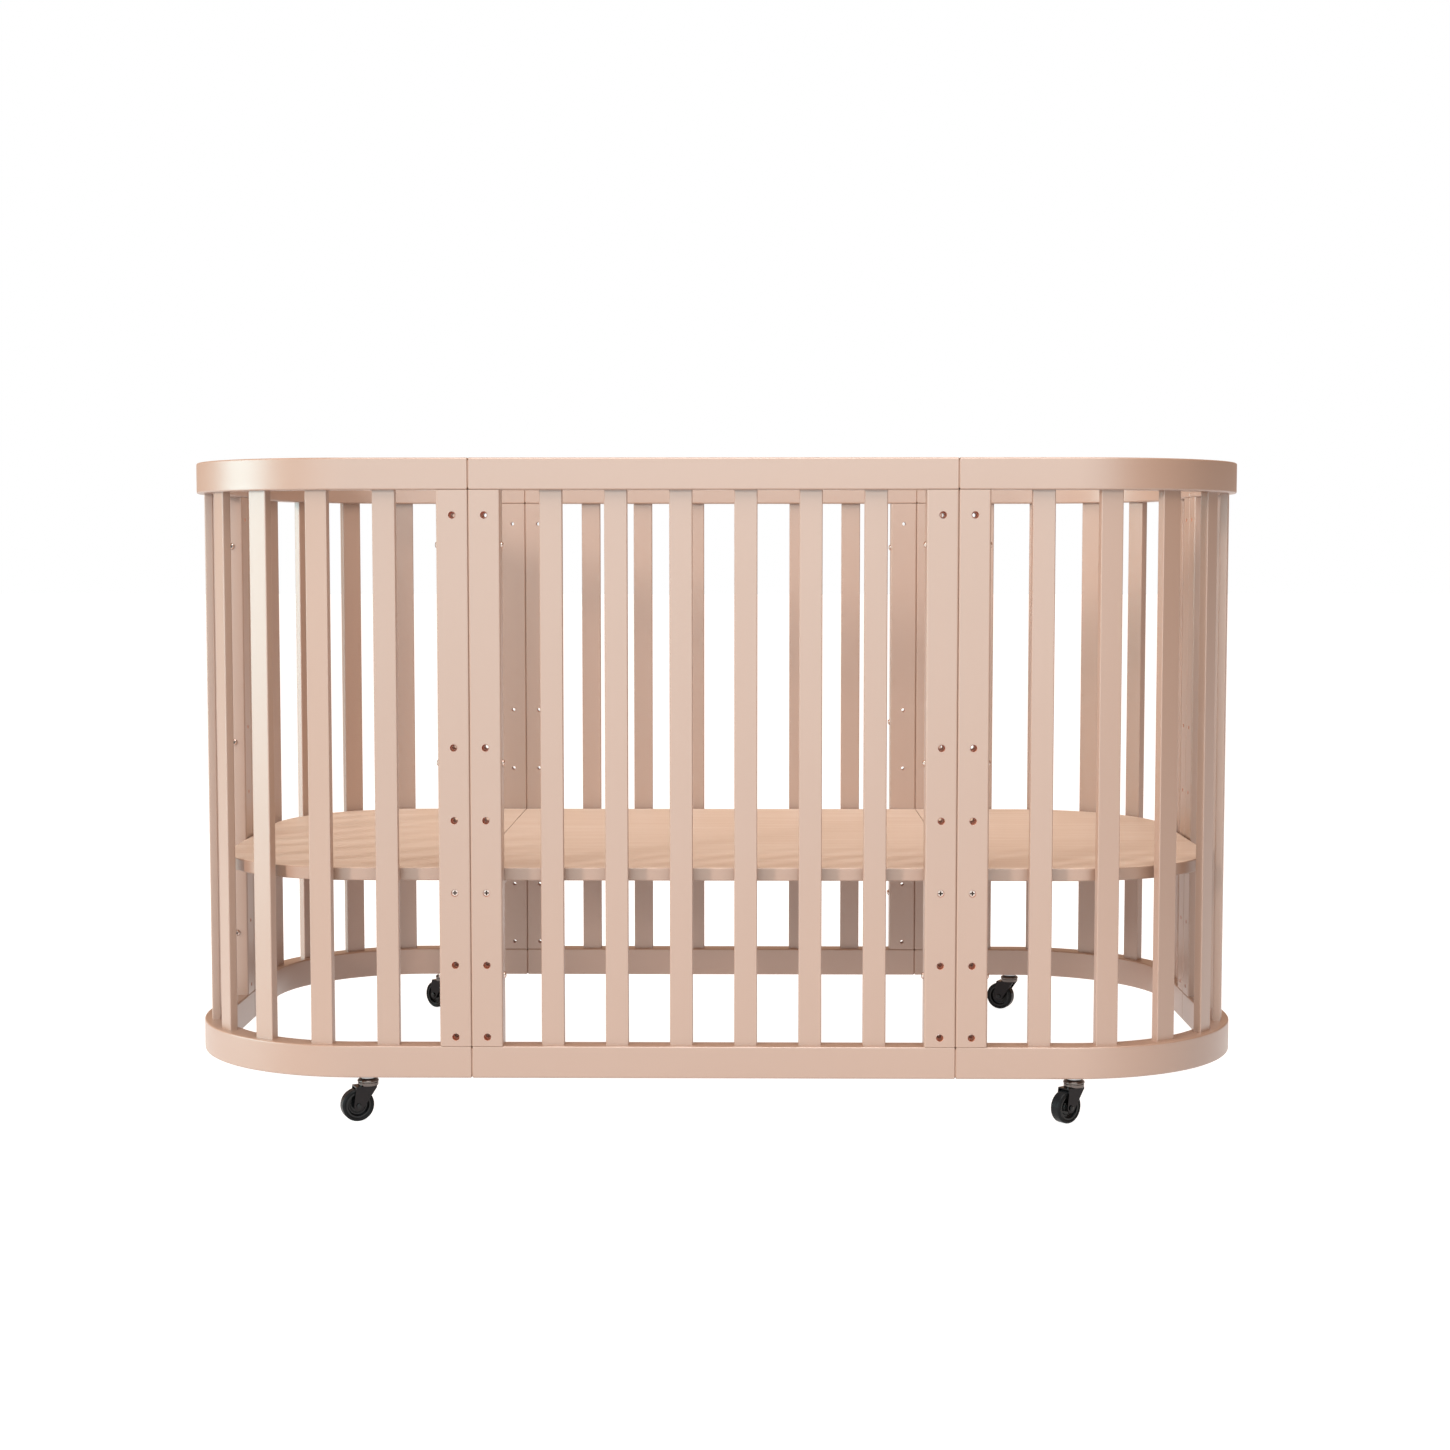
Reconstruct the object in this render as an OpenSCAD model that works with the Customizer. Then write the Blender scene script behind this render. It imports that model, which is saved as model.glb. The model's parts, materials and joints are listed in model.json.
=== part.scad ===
// Oval baby crib on casters, in millimetres.
// Six slatted wall modules are bolted post to post round an oval mattress board: four quarter-round
// corner modules and two straight ones. Origin: on the floor, under the middle of the crib.
// +X runs along the crib, -Y is its front, +Z is up.

/* [Overall size] */
// Length of the crib over its rails
crib_l = 1270; // [1150:10:1600]
// Width of the crib over its rails
crib_w = 710; // [590:10:900]
// Height of the wooden walls, without casters
wall_h = 716; // [520:2:900]
// Length of each straight module
panel_l = 560; // [420:10:700]
// Outer radius of the corner modules in plan
corner_r = 219; // [150:1:230]

/* [Frame timber] */
// Thickness of rails and posts
frame_t = 28; // [22:0.5:36]
// Width of a post
post_w = 36.5; // [32:0.5:45]
// Height of the top rail
top_rail_h = 36.6; // [30:0.2:50]
// Height of the bottom rail
bottom_rail_h = 37.4; // [36:0.2:50]
// Radius of the rails' rounded edges
rail_edge_r = 2; // [1:0.25:4]
// Radius of the posts' rounded edges
post_edge_r = 2; // [1:0.25:5]
// Size of the bevel at the ends of each rail
seam_bevel = 1.2; // [0.5:0.1:2]

/* [Slats] */
// Width of a slat
slat_w = 26.5; // [20:0.5:36]
// Thickness of a slat
slat_t = 10; // [7:0.5:14]
// Radius of the slats' rounded edges
slat_edge_r = 1.25; // [0.5:0.25:3]
// Depth of a slat's end in its mortise
tenon_l = 10; // [6:1:16]
// Widest spacing of slat centres
slat_pitch_max = 82; // [60:1:90]
// Gap between a post and the nearest slat of a straight module
panel_end_gap = 44; // [30:1:60]
// Gap between a side post and the nearest slat of a corner module
side_end_gap = 48; // [30:1:60]
// Gap between an end post and the nearest slat of a corner module
end_end_gap = 57; // [30:1:62]

/* [Post holes and board supports] */
// Height of the lowest post hole above the bottom rail
hole_rise = 10.8; // [8:0.2:20]
// Spacing of the five rows of bracket holes
hole_pitch = 84; // [60:1:100]
// Depth of the single top hole below the top rail
hole_drop = 28.7; // [20:0.1:40]
// Row of holes that carries the mattress board, counted from the bottom
board_row = 3; // [1:1:5]
// Diameter of the counterbore on the outside of a post
counterbore_d = 8.4; // [7:0.1:12]
// Depth of that counterbore
counterbore_l = 10; // [6:1:14]
// Diameter of the hole through the post
through_d = 5; // [4:0.1:6.4]
// Depth of a screw's head below the face of the post
head_recess = 1.6; // [0.5:0.1:3]
// Width of a board bracket
bracket_w = 24; // [16:1:30]
// Height of a board bracket
bracket_h = 30; // [24:1:40]
// Reach of a board bracket under the board
bracket_reach = 20; // [12:1:30]
// Thickness of a bracket's steel
bracket_t = 3; // [2:0.5:5]
// Height of the bracket's shelf above its screw
bracket_rise = 10.5; // [8:0.1:14]

/* [Seam bolts and dowels] */
// Diameter of a seam bolt
bolt_d = 5; // [4:0.5:6]
// Diameter of the seam bolts' heads and cap nuts
bolt_head_d = 8; // [8:0.5:12]
// Height of the seam bolts' heads and cap nuts
bolt_head_h = 2.8; // [2.4:0.1:5]
// Reach of a bolt into its cap nut
nut_reach = 1.6; // [1.2:0.1:1.8]
// Depth of the lowest seam bolt below the second row of holes
bolt_drop_low = 13.6; // [10:0.1:30]
// Depth of the middle seam bolt below the fifth row of holes
bolt_drop_mid = 18.4; // [10:0.1:30]
// Depth of the top seam bolt below the top hole
bolt_drop_top = 34; // [10:0.5:40]
// Diameter of the dowels between posts and rails
dowel_d = 8; // [6:0.5:9]
// Length of a dowel
dowel_l = 36; // [24:2:44]
// Distance of each dowel from the middle of its post
dowel_offset = 10; // [9:0.5:11]

/* [Mattress board] */
// Thickness of the mattress board
board_t = 15; // [12:1:22]
// Gap between the board and the walls
board_gap = 2; // [1.5:0.5:6]
// Gap between neighbouring pieces of the board
board_joint = 0.8; // [0.4:0.1:2]
// Radius of the board's rounded edges
board_edge_r = 1.5; // [0.5:0.25:3]
// Width of a joining batten
batten_w = 60; // [40:2:90]
// Thickness of a joining batten
batten_t = 12; // [9:1:18]
// Distance from a batten's end to the edge of the board
batten_inset = 35; // [30:1:90]

/* [Casters] */
// Diameter of a caster wheel
wheel_d = 38; // [30:1:50]
// Width of the tyre
tyre_w = 14; // [12:0.5:20]
// Radial thickness of the tyre
tyre_t = 4; // [3:0.5:6]
// Distance of the wheel's axle behind the swivel axis
trail = 13.3; // [8:0.1:18]
// Gap between the tyre and the fork's top plate
wheel_gap = 1.5; // [1:0.5:5]
// Thickness of the fork's steel
fork_t = 1.5; // [1.2:0.1:3]
// Diameter of the swivel cup
cup_d = 25; // [22:0.5:32]
// Height of the swivel cup
cup_h = 8.4; // [7:0.2:12]
// Diameter of the socket's flange
flange_d = 18; // [16:0.5:20]
// Thickness of the socket's flange
flange_t = 2.3; // [1.5:0.1:3]
// Diameter of the caster's stem
stem_d = 8; // [6:0.5:9]
// Wall of the stem's socket
socket_wall = 1.5; // [1:0.1:2]
// Wood between the top of a socket and the mortises in the bottom rail
socket_floor = 2.4; // [2:0.1:5]
// Diameter of the axle
axle_d = 5; // [4:0.5:7]
// Distance of a left caster from the nearest seam, along the wall
caster_left = 123; // [60:1:200]
// Distance of a right caster from the nearest seam, along the wall
caster_right = 139; // [60:1:200]

/* [Hidden] */
$fn = 48;

// Colours
paint = [0.86, 0.75, 0.70];
bare_wood = [0.87, 0.76, 0.66];
steel = [0.62, 0.62, 0.64];
zinc = [0.45, 0.46, 0.48];
rubber = [0.06, 0.06, 0.07];
dark_plastic = [0.16, 0.16, 0.17];

// Running gear, stacked up from the floor
run_fit = 0.05; // radial play of a shaft that turns
swivel_play = 0.3; // gap between the swivel cup and the socket's flange
side_play = 0.6; // gap between the tyre and each fork plate
fork_top_z = wheel_d + wheel_gap + fork_t;
cup_top_z = fork_top_z + cup_h;
wall_z = cup_top_z + swivel_play + flange_t;
fork_inner_w = tyre_w + 2 * side_play;
fork_outer_w = fork_inner_w + 2 * fork_t;
hub_r = wheel_d / 2 - tyre_t;
cap_l = 2; // length of the axle's end caps
cap_lip = 0.6; // how far a cap stands out round the axle
eye_r = axle_d / 2 + 3.7; // round end of the fork plates
fork_heel = trail + 3.3; // trailing edge of the fork's top
socket_d = stem_d + 2 * socket_wall;
socket_l = bottom_rail_h - tenon_l - socket_floor;
stem_l = socket_l + flange_t + swivel_play - 4; // the stem ends 4 below the socket's closed top

// Wall heights
bottom_rail_top = wall_z + bottom_rail_h;
top_rail_bottom = wall_z + wall_h - top_rail_h;

// Plan of the corner modules: two straight legs joined by an arc
leg_x = (crib_l - panel_l) / 2;
leg_y = crib_w / 2;
straight_x = leg_x - corner_r;
straight_y = leg_y - corner_r;
mid_r = corner_r - frame_t / 2;
arc_l = mid_r * PI / 2;
corner_l = straight_x + arc_l + straight_y;
arc_x = crib_l / 2 - corner_r; // centre of the arc
arc_y = crib_w / 2 - corner_r;
wall_y = crib_w / 2 - frame_t / 2; // middle of the long walls' thickness
wall_x = crib_l / 2 - frame_t / 2; // middle of the end walls' thickness

// Slats: the fewest that keep the widest spacing
function slat_count(clear, gap_a, gap_b) =
    1 + ceil((clear - gap_a - gap_b - slat_w) / slat_pitch_max);
function slat_places(length, gap_a, gap_b) =
    let (clear = length - 2 * post_w,
         n = slat_count(clear, gap_a, gap_b),
         pitch = (clear - gap_a - gap_b - slat_w) / (n - 1))
    [for (i = [0 : n - 1]) post_w + gap_a + slat_w / 2 + i * pitch];
panel_slats = [for (s = slat_places(panel_l, panel_end_gap, panel_end_gap)) s - panel_l / 2];
corner_slats = slat_places(corner_l, side_end_gap, end_end_gap);

// Post holes, seam bolts and board
hole_rows = [for (i = [0 : 4]) bottom_rail_top + hole_rise + i * hole_pitch];
top_hole_z = top_rail_bottom - hole_drop;
hole_heights = concat(hole_rows, [top_hole_z]);
screw_z = hole_rows[board_row - 1];
board_z = screw_z + bracket_rise;
bolt_heights = [hole_rows[1] - bolt_drop_low, hole_rows[4] - bolt_drop_mid,
                top_hole_z - bolt_drop_top];
bolt_hole_d = bolt_d + 0.4;
inset = frame_t + board_gap;
board_r = corner_r - inset;
screw_d = through_d - 0.2;

// Signs of the four corners and the rest angles of their casters
// [name, x sign, y sign, direction in which the wheel trails]
FRONT_LEFT = [-1, -1, 205];
FRONT_RIGHT = [1, -1, 219];
BACK_LEFT = [-1, 1, 141];
BACK_RIGHT = [1, 1, 153];
CORNERS = [FRONT_LEFT, FRONT_RIGHT, BACK_LEFT, BACK_RIGHT];

// ---------- profiles ----------

// Rectangle centred on the origin with rounded corners, as a list of points
function round_rect(w, h, r, steps = 3) =
    [for (q = [0 : 3], i = [0 : steps])
        let (a = 90 * q + 90 * i / steps,
             sx = (q == 0 || q == 3) ? 1 : -1,
             sy = q < 2 ? 1 : -1)
        [sx * (w / 2 - r) + r * cos(a), sy * (h / 2 - r) + r * sin(a)]];

// Slab section from 0 to reach, with both corners of its outer end rounded
function slab_end(reach, h, r, steps = 3) =
    concat([[0, 0]],
        [for (i = [0 : steps]) let (a = -90 + 90 * i / steps)
            [reach - r + r * cos(a), r + r * sin(a)]],
        [for (i = [0 : steps]) let (a = 90 * i / steps)
            [reach - r + r * cos(a), h - r + r * sin(a)]],
        [[0, h]]);

// Whole slab section: the rounded end on +X and its mirror image
function slab_section(reach, h, r) =
    let (rounded = [for (p = slab_end(reach, h, r)) if (p[0] > 0) p])
    concat(rounded, [for (i = [len(rounded) - 1 : -1 : 0]) [-rounded[i][0], rounded[i][1]]]);

// ---------- walls ----------

// Straight length of rail along +X from the origin, centred in Y, standing on z = 0
module rail_bar(length, h) {
    rotate([90, 0, 90])
        linear_extrude(length)
            translate([0, h / 2])
                polygon(round_rect(frame_t, h, rail_edge_r));
}

// Bevels that take the sharp edges off a rail's end; the end is the plane x = 0
module end_bevels(h) {
    side = seam_bevel * sqrt(2);
    for (s = [-1, 1]) {
        translate([0, s * frame_t / 2, -1])
            rotate(45)
                translate([-side / 2, -side / 2, 0])
                    cube([side, side, h + 2]);
        translate([0, -frame_t, (1 + s) * h / 2])
            rotate([0, 45, 0])
                translate([-side / 2, 0, -side / 2])
                    cube([side, 2 * frame_t, side]);
    }
}

// Direction and place at distance s from the side seam of the front right corner module, along the
// middle of the wall
function corner_turn(s) = max(0, min(90, (s - straight_x) / mid_r * 180 / PI));
function corner_place(s) =
    let (a = corner_turn(s))
    [arc_x + mid_r * sin(a) + min(0, s - straight_x),
     -arc_y - mid_r * cos(a) + max(0, s - straight_x - arc_l)];

// Place of a corner's caster, as made for the front right corner module
function caster_place(corner) = corner_place(corner[0] < 0 ? caster_left : caster_right);

// Puts its child at distance s, turned so that +X runs along the wall and -Y points outwards
module on_corner(s) {
    translate(corner_place(s)) rotate(corner_turn(s)) children();
}

// Puts its child, made for the front right corner module, into another corner
module at_corner(corner) {
    mirror([corner[0] < 0 ? 1 : 0, 0, 0])
        mirror([0, corner[1] > 0 ? 1 : 0, 0])
            children();
}

// The two dowels across a joint between a post and a rail at height z
module post_dowels(z) {
    for (s = [-1, 1])
        translate([s * dowel_offset, 0, z - dowel_l / 2])
            cylinder(d = dowel_d, h = dowel_l);
}

// Slat along Z, with its ends in the mortises of both rails
module slat() {
    translate([0, 0, bottom_rail_top - tenon_l])
        linear_extrude(top_rail_bottom - bottom_rail_top + 2 * tenon_l)
            polygon(round_rect(slat_w, slat_t, slat_edge_r));
}

module panel_rail(z, h, joint_z) {
    difference() {
        translate([-panel_l / 2, 0, z]) rail_bar(panel_l, h);
        for (s = [-1, 1])
            translate([s * panel_l / 2, 0, z]) end_bevels(h);
        for (x = panel_slats)
            translate([x, 0, 0]) slat();
        for (s = [-1, 1])
            translate([s * (panel_l - post_w) / 2, 0, 0]) post_dowels(joint_z);
    }
}

// Rail of the front right corner module
module corner_rail(z, h, joint_z) {
    difference() {
        translate([0, 0, z]) {
            union() {
                translate([panel_l / 2, -wall_y, 0]) rail_bar(straight_x, h);
                translate([arc_x, -arc_y, 0])
                    rotate(-90)
                        rotate_extrude(angle = 90, $fn = 96)
                            translate([mid_r, h / 2])
                                polygon(round_rect(frame_t, h, rail_edge_r));
                translate([wall_x, -arc_y, 0]) rotate(90) rail_bar(straight_y, h);
            }
        }
        translate([panel_l / 2, -wall_y, z]) end_bevels(h);
        translate([wall_x, 0, z]) rotate(90) end_bevels(h);
        for (s = corner_slats)
            on_corner(s) slat();
        for (s = [post_w / 2, corner_l - post_w / 2])
            on_corner(s) post_dowels(joint_z);
    }
}

// Post along Z, centred on the origin, with its outside facing -Y
module post() {
    difference() {
        translate([0, 0, bottom_rail_top])
            linear_extrude(top_rail_bottom - bottom_rail_top)
                polygon(round_rect(post_w, frame_t, post_edge_r));
        for (z = hole_heights)
            translate([0, 0, z])
                rotate([90, 0, 0]) {
                    translate([0, 0, -frame_t]) cylinder(d = through_d, h = 2 * frame_t);
                    translate([0, 0, frame_t / 2 - counterbore_l])
                        cylinder(d = counterbore_d, h = frame_t);
                }
        for (z = bolt_heights)
            translate([-post_w, 0, z]) rotate([0, 90, 0]) cylinder(d = bolt_hole_d, h = 2 * post_w);
        post_dowels(bottom_rail_top);
        post_dowels(top_rail_bottom);
    }
}

// ---------- modules of the wall ----------

module panel_top_rail() {
    color(paint) panel_rail(top_rail_bottom, top_rail_h, top_rail_bottom);
}

module panel_bottom_rail() {
    color(paint) panel_rail(wall_z, bottom_rail_h, bottom_rail_top);
}

module panel_post(side) {
    color(paint) translate([side * (panel_l - post_w) / 2, 0, 0]) post();
}

module panel_slat_set() {
    color(paint)
        for (x = panel_slats)
            translate([x, 0, 0]) slat();
}

// Puts a straight module, made facing -Y, at the front (-1) or the back (1)
module at_side(side) {
    translate([0, side * wall_y, 0])
        mirror([0, side > 0 ? 1 : 0, 0])
            children();
}

module corner_top_rail(corner) {
    color(paint) at_corner(corner) corner_rail(top_rail_bottom, top_rail_h, top_rail_bottom);
}

module corner_bottom_rail(corner) {
    color(paint)
        at_corner(corner)
            difference() {
                corner_rail(wall_z, bottom_rail_h, bottom_rail_top);
                translate(caster_place(corner))
                    translate([0, 0, wall_z - 1])
                        cylinder(d = socket_d, h = socket_l + 1);
            }
}

module corner_side_post(corner) {
    color(paint) at_corner(corner) on_corner(post_w / 2) post();
}

module corner_end_post(corner) {
    color(paint) at_corner(corner) on_corner(corner_l - post_w / 2) post();
}

module corner_slat_set(corner) {
    color(paint)
        at_corner(corner)
            for (s = corner_slats)
                on_corner(s) slat();
}

// ---------- joining hardware ----------

// Puts its child at the front seam on the +X side and repeats it at all six seams; +X crosses the seam
module at_seams() {
    for (sx = [-1, 1]) {
        for (sy = [-1, 1])
            translate([sx * panel_l / 2, sy * wall_y, 0])
                rotate(sx > 0 ? 180 : 0) children();
        translate([sx * wall_x, 0, 0]) rotate(-90 * sx) children();
    }
}

// Puts its child at every post; the outside of the wall is -Y
module at_posts() {
    for (side = [-1, 1], end = [-1, 1])
        at_side(side) translate([end * (panel_l - post_w) / 2, 0, 0]) children();
    for (corner = CORNERS, s = [post_w / 2, corner_l - post_w / 2])
        at_corner(corner) on_corner(s) children();
}

module frame_dowels() {
    color(bare_wood)
        at_posts() {
            post_dowels(bottom_rail_top);
            post_dowels(top_rail_bottom);
        }
}

// Low domed head on z = 0, facing +Z
module dome(d, h) {
    rotate_extrude()
        polygon([[0, 0], [d / 2, 0], [d / 2, h * 0.35], [d * 0.43, h * 0.7], [d * 0.3, h * 0.92],
                 [0, h]]);
}

module seam_bolts() {
    color(steel)
        at_seams()
            for (z = bolt_heights)
                translate([post_w, 0, z]) {
                    rotate([0, 90, 0]) dome(bolt_head_d, bolt_head_h);
                    rotate([0, -90, 0]) cylinder(d = bolt_d, h = 2 * post_w + nut_reach);
                }
}

module seam_nuts() {
    color(steel)
        at_seams()
            for (z = bolt_heights)
                translate([-post_w, 0, z])
                    rotate([0, -90, 0])
                        difference() {
                            dome(bolt_head_d, bolt_head_h);
                            translate([0, 0, -1]) cylinder(d = bolt_d, h = nut_reach + 1);
                        }
}

// ---------- mattress board ----------

// Straight piece of board between two places along X
module board_slab(x0, x1) {
    translate([x0, 0, board_z])
        rotate([90, 0, 90])
            linear_extrude(x1 - x0)
                polygon(slab_section(crib_w / 2 - inset, board_t, board_edge_r));
}

// Half-round end of the board on the +X side
module board_end() {
    x_joint = (panel_l + board_joint) / 2;
    union() {
        board_slab(x_joint, arc_x);
        for (s = [-1, 1])
            translate([arc_x, s * arc_y, board_z])
                rotate(s < 0 ? -90 : 0)
                    rotate_extrude(angle = 90, $fn = 96)
                        polygon(slab_end(board_r, board_t, board_edge_r));
        translate([arc_x, arc_y, board_z])
            rotate([90, 0, 0])
                linear_extrude(2 * arc_y)
                    polygon(slab_end(board_r, board_t, board_edge_r));
    }
}

module board_left() {
    color(bare_wood) mirror([1, 0, 0]) board_end();
}

module board_right() {
    color(bare_wood) board_end();
}

module board_middle() {
    reach = (panel_l - board_joint) / 2;
    color(bare_wood) board_slab(-reach, reach);
}

module board_battens() {
    batten_l = crib_w - 2 * (inset + batten_inset);
    color(bare_wood)
        for (s = [-1, 1])
            translate([s * panel_l / 2 - batten_w / 2, -batten_l / 2, board_z - batten_t])
                cube([batten_w, batten_l, batten_t]);
}

// Steel angle screwed to the inside of a post; its shelf carries the board
module bracket() {
    difference() {
        union() {
            translate([-bracket_w / 2, frame_t / 2, board_z - bracket_h])
                cube([bracket_w, bracket_t, bracket_h]);
            translate([-bracket_w / 2, frame_t / 2, board_z - bracket_t])
                cube([bracket_w, bracket_reach, bracket_t]);
        }
        translate([0, 0, screw_z])
            rotate([-90, 0, 0])
                cylinder(d = screw_d, h = frame_t);
    }
}

module board_brackets() {
    color(zinc) at_posts() bracket();
}

// Long-headed screw from the outside of a post into its bracket
module board_screws() {
    head_d = counterbore_d - 0.2;
    slot_w = 1.1;
    slot_l = head_d * 0.62;
    slot_h = 2.4;
    color(steel)
        at_posts()
            translate([0, -frame_t / 2 + head_recess, screw_z])
                rotate([-90, 0, 0])
                    difference() {
                        union() {
                            cylinder(d = head_d, h = counterbore_l - head_recess);
                            cylinder(d = screw_d, h = frame_t - head_recess + bracket_t + 1);
                        }
                        for (a = [0, 90])
                            rotate(a)
                                translate([-slot_l / 2, -slot_w / 2, -1])
                                    cube([slot_l, slot_w, slot_h + 1]);
                    }
}

// ---------- casters ----------

// Puts its child on the swivel axis of a caster, turned so that +X points where the wheel trails
module at_caster(corner) {
    place = caster_place(corner);
    translate([corner[0] * place[0], -corner[1] * place[1], 0])
        rotate(corner[2])
            children();
}

// Flanged sleeve let into the bottom rail
module caster_sockets() {
    color(zinc)
        for (corner = CORNERS)
            at_caster(corner)
                difference() {
                    translate([0, 0, wall_z - flange_t])
                        union() {
                            cylinder(d = flange_d, h = flange_t);
                            cylinder(d = socket_d, h = flange_t + socket_l);
                        }
                    translate([0, 0, wall_z - flange_t - 1])
                        cylinder(d = stem_d + 2 * run_fit, h = socket_l + flange_t - 1);
                }
}

// Domed swivel cup with the stem that turns in the socket
module caster_stem(corner) {
    r = cup_d / 2;
    groove_z = cup_h / 2;
    dome_r = r * 0.42;
    dome_z = groove_z + 1.1;
    stem_r = stem_d / 2;
    color(steel)
        at_caster(corner)
            translate([0, 0, fork_top_z])
                rotate_extrude()
                    polygon(concat(
                        [[0, 0], [r - 1.5, 0], [r - 0.5, 0.8], [r - 0.5, groove_z - 0.5],
                         [r - 1.3, groove_z - 0.2], [r - 1.3, groove_z + 0.3], [r, groove_z + 0.6]],
                        [for (a = [0 : 15 : 90])
                            [r - dome_r + dome_r * cos(a), dome_z + (cup_h - dome_z) * sin(a)]],
                        [[stem_r, cup_h], [stem_r, cup_h + stem_l - 1.5],
                         [stem_r - 1, cup_h + stem_l], [0, cup_h + stem_l]]));
}

// Side plate of the fork in the plane of the wheel: wide under the cup, round about the axle
module fork_plate() {
    toe = cup_d / 2 - 4.5;
    polygon(concat(
        [[fork_heel, fork_top_z], [-toe, fork_top_z], [-toe, fork_top_z - 2]],
        [for (a = [225 : 15 : 360]) [trail + eye_r * cos(a), wheel_d / 2 + eye_r * sin(a)]]));
}

module caster_fork(corner) {
    color(zinc)
        at_caster(corner)
            difference() {
                union() {
                    for (s = [-1, 1])
                        translate([0, s * (fork_outer_w - fork_t) / 2, 0])
                            rotate([90, 0, 0])
                                translate([0, 0, -fork_t / 2])
                                    linear_extrude(fork_t) fork_plate();
                    translate([0, 0, fork_top_z - fork_t])
                        cylinder(d = cup_d - 4, h = fork_t);
                    translate([0, -fork_outer_w / 2, fork_top_z - fork_t])
                        cube([fork_heel, fork_outer_w, fork_t]);
                }
                translate([trail, fork_outer_w, wheel_d / 2])
                    rotate([90, 0, 0])
                        cylinder(d = axle_d, h = 2 * fork_outer_w);
            }
}

// Axle with a round cap on each end
module caster_axle(corner) {
    axle_r = axle_d / 2;
    cap_r = axle_r + cap_lip;
    half_w = fork_outer_w / 2;
    color(dark_plastic)
        at_caster(corner)
            translate([trail, 0, wheel_d / 2])
                rotate([90, 0, 0])
                    rotate_extrude()
                        polygon([[0, -half_w - cap_l], [axle_r, -half_w - cap_l],
                                 [cap_r, -half_w - cap_l + cap_lip], [cap_r, -half_w],
                                 [axle_r, -half_w], [axle_r, half_w], [cap_r, half_w],
                                 [cap_r, half_w + cap_l - cap_lip], [axle_r, half_w + cap_l],
                                 [0, half_w + cap_l]]);
}

// Dished wheel centre, bored for the axle
module caster_hub(corner) {
    bore_r = axle_d / 2 + run_fit;
    boss_r = axle_d / 2 + 2.4;
    boss_w = fork_inner_w - 0.4;
    rim_w = tyre_w - 1;
    rim_t = 2.4;
    web_w = 4;
    color(dark_plastic)
        at_caster(corner)
            translate([trail, 0, wheel_d / 2])
                rotate([90, 0, 0])
                    rotate_extrude()
                        polygon([[bore_r, -boss_w / 2], [boss_r, -boss_w / 2], [boss_r + 0.8, -web_w / 2],
                                 [hub_r - rim_t - 0.8, -web_w / 2], [hub_r - rim_t, -rim_w / 2],
                                 [hub_r, -rim_w / 2], [hub_r, rim_w / 2], [hub_r - rim_t, rim_w / 2],
                                 [hub_r - rim_t - 0.8, web_w / 2], [boss_r + 0.8, web_w / 2],
                                 [boss_r, boss_w / 2], [bore_r, boss_w / 2]]);
}

// Round-shouldered tyre pressed on the hub
module caster_tyre(corner) {
    r = wheel_d / 2;
    shoulder = 2.5;
    color(rubber)
        at_caster(corner)
            translate([trail, 0, wheel_d / 2])
                rotate([90, 0, 0])
                    rotate_extrude(convexity = 4)
                        polygon(concat(
                            [[hub_r, -tyre_w / 2 + 0.5], [hub_r + 0.5, -tyre_w / 2]],
                            [for (i = [0 : 4]) let (a = -90 + 90 * i / 4)
                                [r - shoulder + shoulder * cos(a),
                                 -tyre_w / 2 + shoulder + shoulder * sin(a)]],
                            [for (i = [0 : 4]) let (a = 90 * i / 4)
                                [r - shoulder + shoulder * cos(a),
                                 tyre_w / 2 - shoulder + shoulder * sin(a)]],
                            [[hub_r + 0.5, tyre_w / 2], [hub_r, tyre_w / 2 - 0.5]]));
}

// ---------- the part ----------

at_side(-1) panel_top_rail();  // front_top_rail
at_side(-1) panel_bottom_rail();  // front_bottom_rail
at_side(-1) panel_post(-1);  // front_left_post
at_side(-1) panel_post(1);  // front_right_post
at_side(-1) panel_slat_set();  // front_slats
at_side(1) panel_top_rail();  // back_top_rail
at_side(1) panel_bottom_rail();  // back_bottom_rail
at_side(1) panel_post(-1);  // back_left_post
at_side(1) panel_post(1);  // back_right_post
at_side(1) panel_slat_set();  // back_slats
corner_top_rail(FRONT_LEFT);  // front_left_corner_top_rail
corner_bottom_rail(FRONT_LEFT);  // front_left_corner_bottom_rail
corner_side_post(FRONT_LEFT);  // front_left_corner_side_post
corner_end_post(FRONT_LEFT);  // front_left_corner_end_post
corner_slat_set(FRONT_LEFT);  // front_left_corner_slats
corner_top_rail(FRONT_RIGHT);  // front_right_corner_top_rail
corner_bottom_rail(FRONT_RIGHT);  // front_right_corner_bottom_rail
corner_side_post(FRONT_RIGHT);  // front_right_corner_side_post
corner_end_post(FRONT_RIGHT);  // front_right_corner_end_post
corner_slat_set(FRONT_RIGHT);  // front_right_corner_slats
corner_top_rail(BACK_LEFT);  // back_left_corner_top_rail
corner_bottom_rail(BACK_LEFT);  // back_left_corner_bottom_rail
corner_side_post(BACK_LEFT);  // back_left_corner_side_post
corner_end_post(BACK_LEFT);  // back_left_corner_end_post
corner_slat_set(BACK_LEFT);  // back_left_corner_slats
corner_top_rail(BACK_RIGHT);  // back_right_corner_top_rail
corner_bottom_rail(BACK_RIGHT);  // back_right_corner_bottom_rail
corner_side_post(BACK_RIGHT);  // back_right_corner_side_post
corner_end_post(BACK_RIGHT);  // back_right_corner_end_post
corner_slat_set(BACK_RIGHT);  // back_right_corner_slats
frame_dowels();
seam_bolts();
seam_nuts();
board_left();
board_middle();
board_right();
board_battens();
board_brackets();
board_screws();
caster_sockets();
caster_stem(FRONT_LEFT);  // front_left_caster_stem
caster_fork(FRONT_LEFT);  // front_left_caster_fork
caster_axle(FRONT_LEFT);  // front_left_caster_axle
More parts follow.
